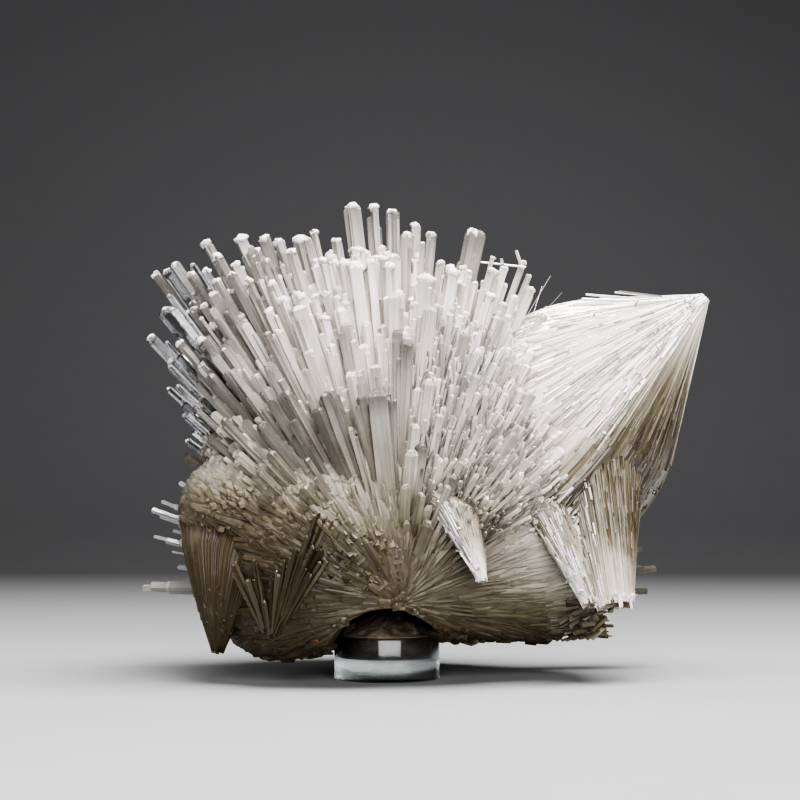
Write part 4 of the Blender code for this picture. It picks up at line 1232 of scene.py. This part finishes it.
def make_materials():
    """All the materials of the pieces, by short names; bumps are given as strength and distance."""
    return {
        "crystal": crystal_material("milky crystal", (0.03, 0.7), 0.28, soft=0.08),
        "stained": crystal_material(
            "stained crystal", (0.05, 0.4), 0.2, roughness=(0.35, 0.55), soft=0.18, shine=0.25
        ),
        "silk": crystal_material("silky fibres", (0.04, 0.4), 0.2, COOL_WHITE, (0.10, 0.28), bump=0.5),
        "bright": crystal_material("bright crystal", (0.1, 0.6), 0.2, COOL_WHITE, (0.02, 0.1), bump=0.2),
        # Painted shade: the grey colours darken the clear crystals as if dark surroundings showed through
        # them.
        "glassy": grained_material(
            "glassy crystal", (2.2, 2.2, 0.03), 3.0, 0.55,
            ((0.0, (0.42, 0.43, 0.44)), (1.0, (0.82, 0.83, 0.84))), 0.12, 0.0002, (0.0, 0.14),
            IOR=CRYSTAL_IOR, Transmission_Weight=1.0,
        ),
        "frost": grained_material(
            "frosted crust", (2.2, 2.2, 2.2), 5.0, 0.7,
            ((0.3, (0.40, 0.37, 0.34)), (0.6, (0.80, 0.78, 0.75))), 0.6, 0.0004, (0.55, 0.85),
            IOR=CRUST_IOR, Transmission_Weight=0.12,
        ),
        "rust": grained_material(
            "rust", (1.8, 1.8, 1.8), 4.0, 0.7,
            ((0.3, (0.065, 0.0325, 0.01)), (0.7, (0.195, 0.0975, 0.03))), 0.5, 0.0003, Roughness=0.8,
        ),
        "dark": grained_material(
            "dark speck", (1.8, 1.8, 1.8), 4.0, 0.7,
            ((0.3, (0.015, 0.0125, 0.01)), (0.7, (0.045, 0.0375, 0.03))), 0.5, 0.0003, Roughness=0.5,
        ),
        "putty": grained_material(
            "dark putty", (2.4, 2.4, 2.4), 5.0, 0.7,
            ((0.3, (0.07, 0.052, 0.038)), (0.55, (0.15, 0.12, 0.09)), (0.75, (0.27, 0.23, 0.18))),
            0.5, 0.0005, (0.2, 0.6), (0.35, 4.0),
        ),
        # Painted shade: the grey tint darkens the clear ring as if dark surroundings showed through it.
        "acrylic": grained_material(
            "clear acrylic", (0.5, 0.5, 3.0), 4.0, 0.55,
            ((0.3, (0.42, 0.44, 0.45)), (0.7, (0.60, 0.62, 0.63))), 0.05, 0.0003, (0.0, 0.16),
            IOR=ACRYLIC_IOR, Transmission_Weight=1.0,
        ),
    }


def floor_material():
    """A plain grey sheet that darkens towards the back."""
    nodes = Nodes("pale floor")
    place = nodes.make("TexCoord").outputs["Object"]
    apart = nodes.make("SeparateXYZ")
    nodes.join(place, apart.inputs["Vector"])
    fade = nodes.make("MapRange")
    nodes.join(apart.outputs["Y"], fade.inputs["Value"])
    for key, value in (("From Min", -0.2), ("From Max", 0.9), ("To Min", 0.0), ("To Max", 1.0)):
        fade.inputs[key].default_value = value
    grains = nodes.noise(place, 60.0)
    colour = nodes.ramp(fade.outputs["Result"], ((0.0, (0.27, 0.27, 0.27)), (1.0, (0.09, 0.09, 0.093))))
    nodes.link(nodes.tinted(colour, nodes.mapped(grains, 0.96, 1.04)), "Base Color")
    nodes.set(Roughness=0.8)
    return nodes.material


def make_floor():
    """A floor that sweeps up into a backdrop."""
    rows = [(-1.2, 0.0)]
    rows += [(0.75 + 0.35 * math.sin(a), 0.35 - 0.35 * math.cos(a)) for a in np.linspace(0, math.pi / 2, 24)]
    rows.append((1.1, 2.2))
    points = [(x, y, z) for y, z in rows for x in (-1.8, 1.8)]
    faces = [(2 * i, 2 * i + 1, 2 * i + 3, 2 * i + 2) for i in range(len(rows) - 1)]
    mesh = bpy.data.meshes.new("floor")
    mesh.from_pydata(points, [], faces)
    mesh.shade_smooth()
    mesh.materials.append(floor_material())
    floor = bpy.data.objects.new("floor", mesh)
    bpy.context.scene.collection.objects.link(floor)


def aim(thing, place, target):
    """Puts a camera or a light at a place, looking at a target."""
    thing.location = place
    away = np.array(target) - np.array(place)
    thing.rotation_euler = (
        math.atan2(np.hypot(away[0], away[1]), -away[2]), 0, math.atan2(away[1], away[0]) - math.pi / 2
    )


def add_light(name, place, target, size, power):
    light = bpy.data.lights.new(name, "AREA")
    light.shape = "RECTANGLE"
    light.size, light.size_y = size
    light.energy = power
    lamp = bpy.data.objects.new(name, light)
    bpy.context.scene.collection.objects.link(lamp)
    aim(lamp, place, target)


def make_studio():
    """Soft light from above, a weak one at the left, a wide fill in front, a grey world and the camera."""
    add_light("key", (0.10, -0.10, 0.60), (0.0, 0.0, 0.06), (0.5, 0.35), 13.0)
    add_light("left", (-0.55, 0.10, 0.30), (0.0, 0.0, 0.06), (0.3, 0.3), 1.0)
    add_light("fill", (0.10, -0.9, 0.30), (0.0, 0.0, 0.05), (0.8, 0.5), 12.0)
    world = bpy.data.worlds.new("studio")
    bpy.context.scene.world = world
    world.use_nodes = True
    world.node_tree.nodes["Background"].inputs["Color"].default_value = (0.16, 0.16, 0.165, 1)
    camera = bpy.data.cameras.new("camera")
    camera.sensor_width = SENSOR_WIDTH
    camera.lens = SENSOR_WIDTH * FOCAL_SHARE
    camera.clip_start = 0.01
    viewer = bpy.data.objects.new("camera", camera)
    bpy.context.scene.collection.objects.link(viewer)
    viewer.location = EYE * MM
    viewer.rotation_euler = (math.pi / 2 + LOOK_UP, 0, 0)
    bpy.context.scene.camera = viewer
    bpy.context.scene.view_settings.view_transform = "AgX"
    bpy.context.scene.view_settings.look = "AgX - High Contrast"


def main():
    materials = make_materials()
    make_core(materials["stained"])
    make_spray(materials)
    make_mass(materials["stained"])
    for seed, (name, sheaf) in enumerate(SHEAVES.items(), 40):
        make_sheaf(name, sheaf, materials["stained" if name in STAINED_SHEAVES else "silk"], seed)
    make_sugar(materials["crystal"])
    make_rods(materials["stained"])
    make_web(materials["silk"])
    make_glints(materials["bright"])
    make_crusts(materials["frost"])
    make_rubble(materials["stained"])
    make_specks(materials["rust"], materials["dark"])
    make_small_spray(materials["silk"])
    make_needles(materials["bright"])
    make_putty(materials["putty"])
    make_stand(materials["acrylic"])
    make_floor()
    make_studio()


main()
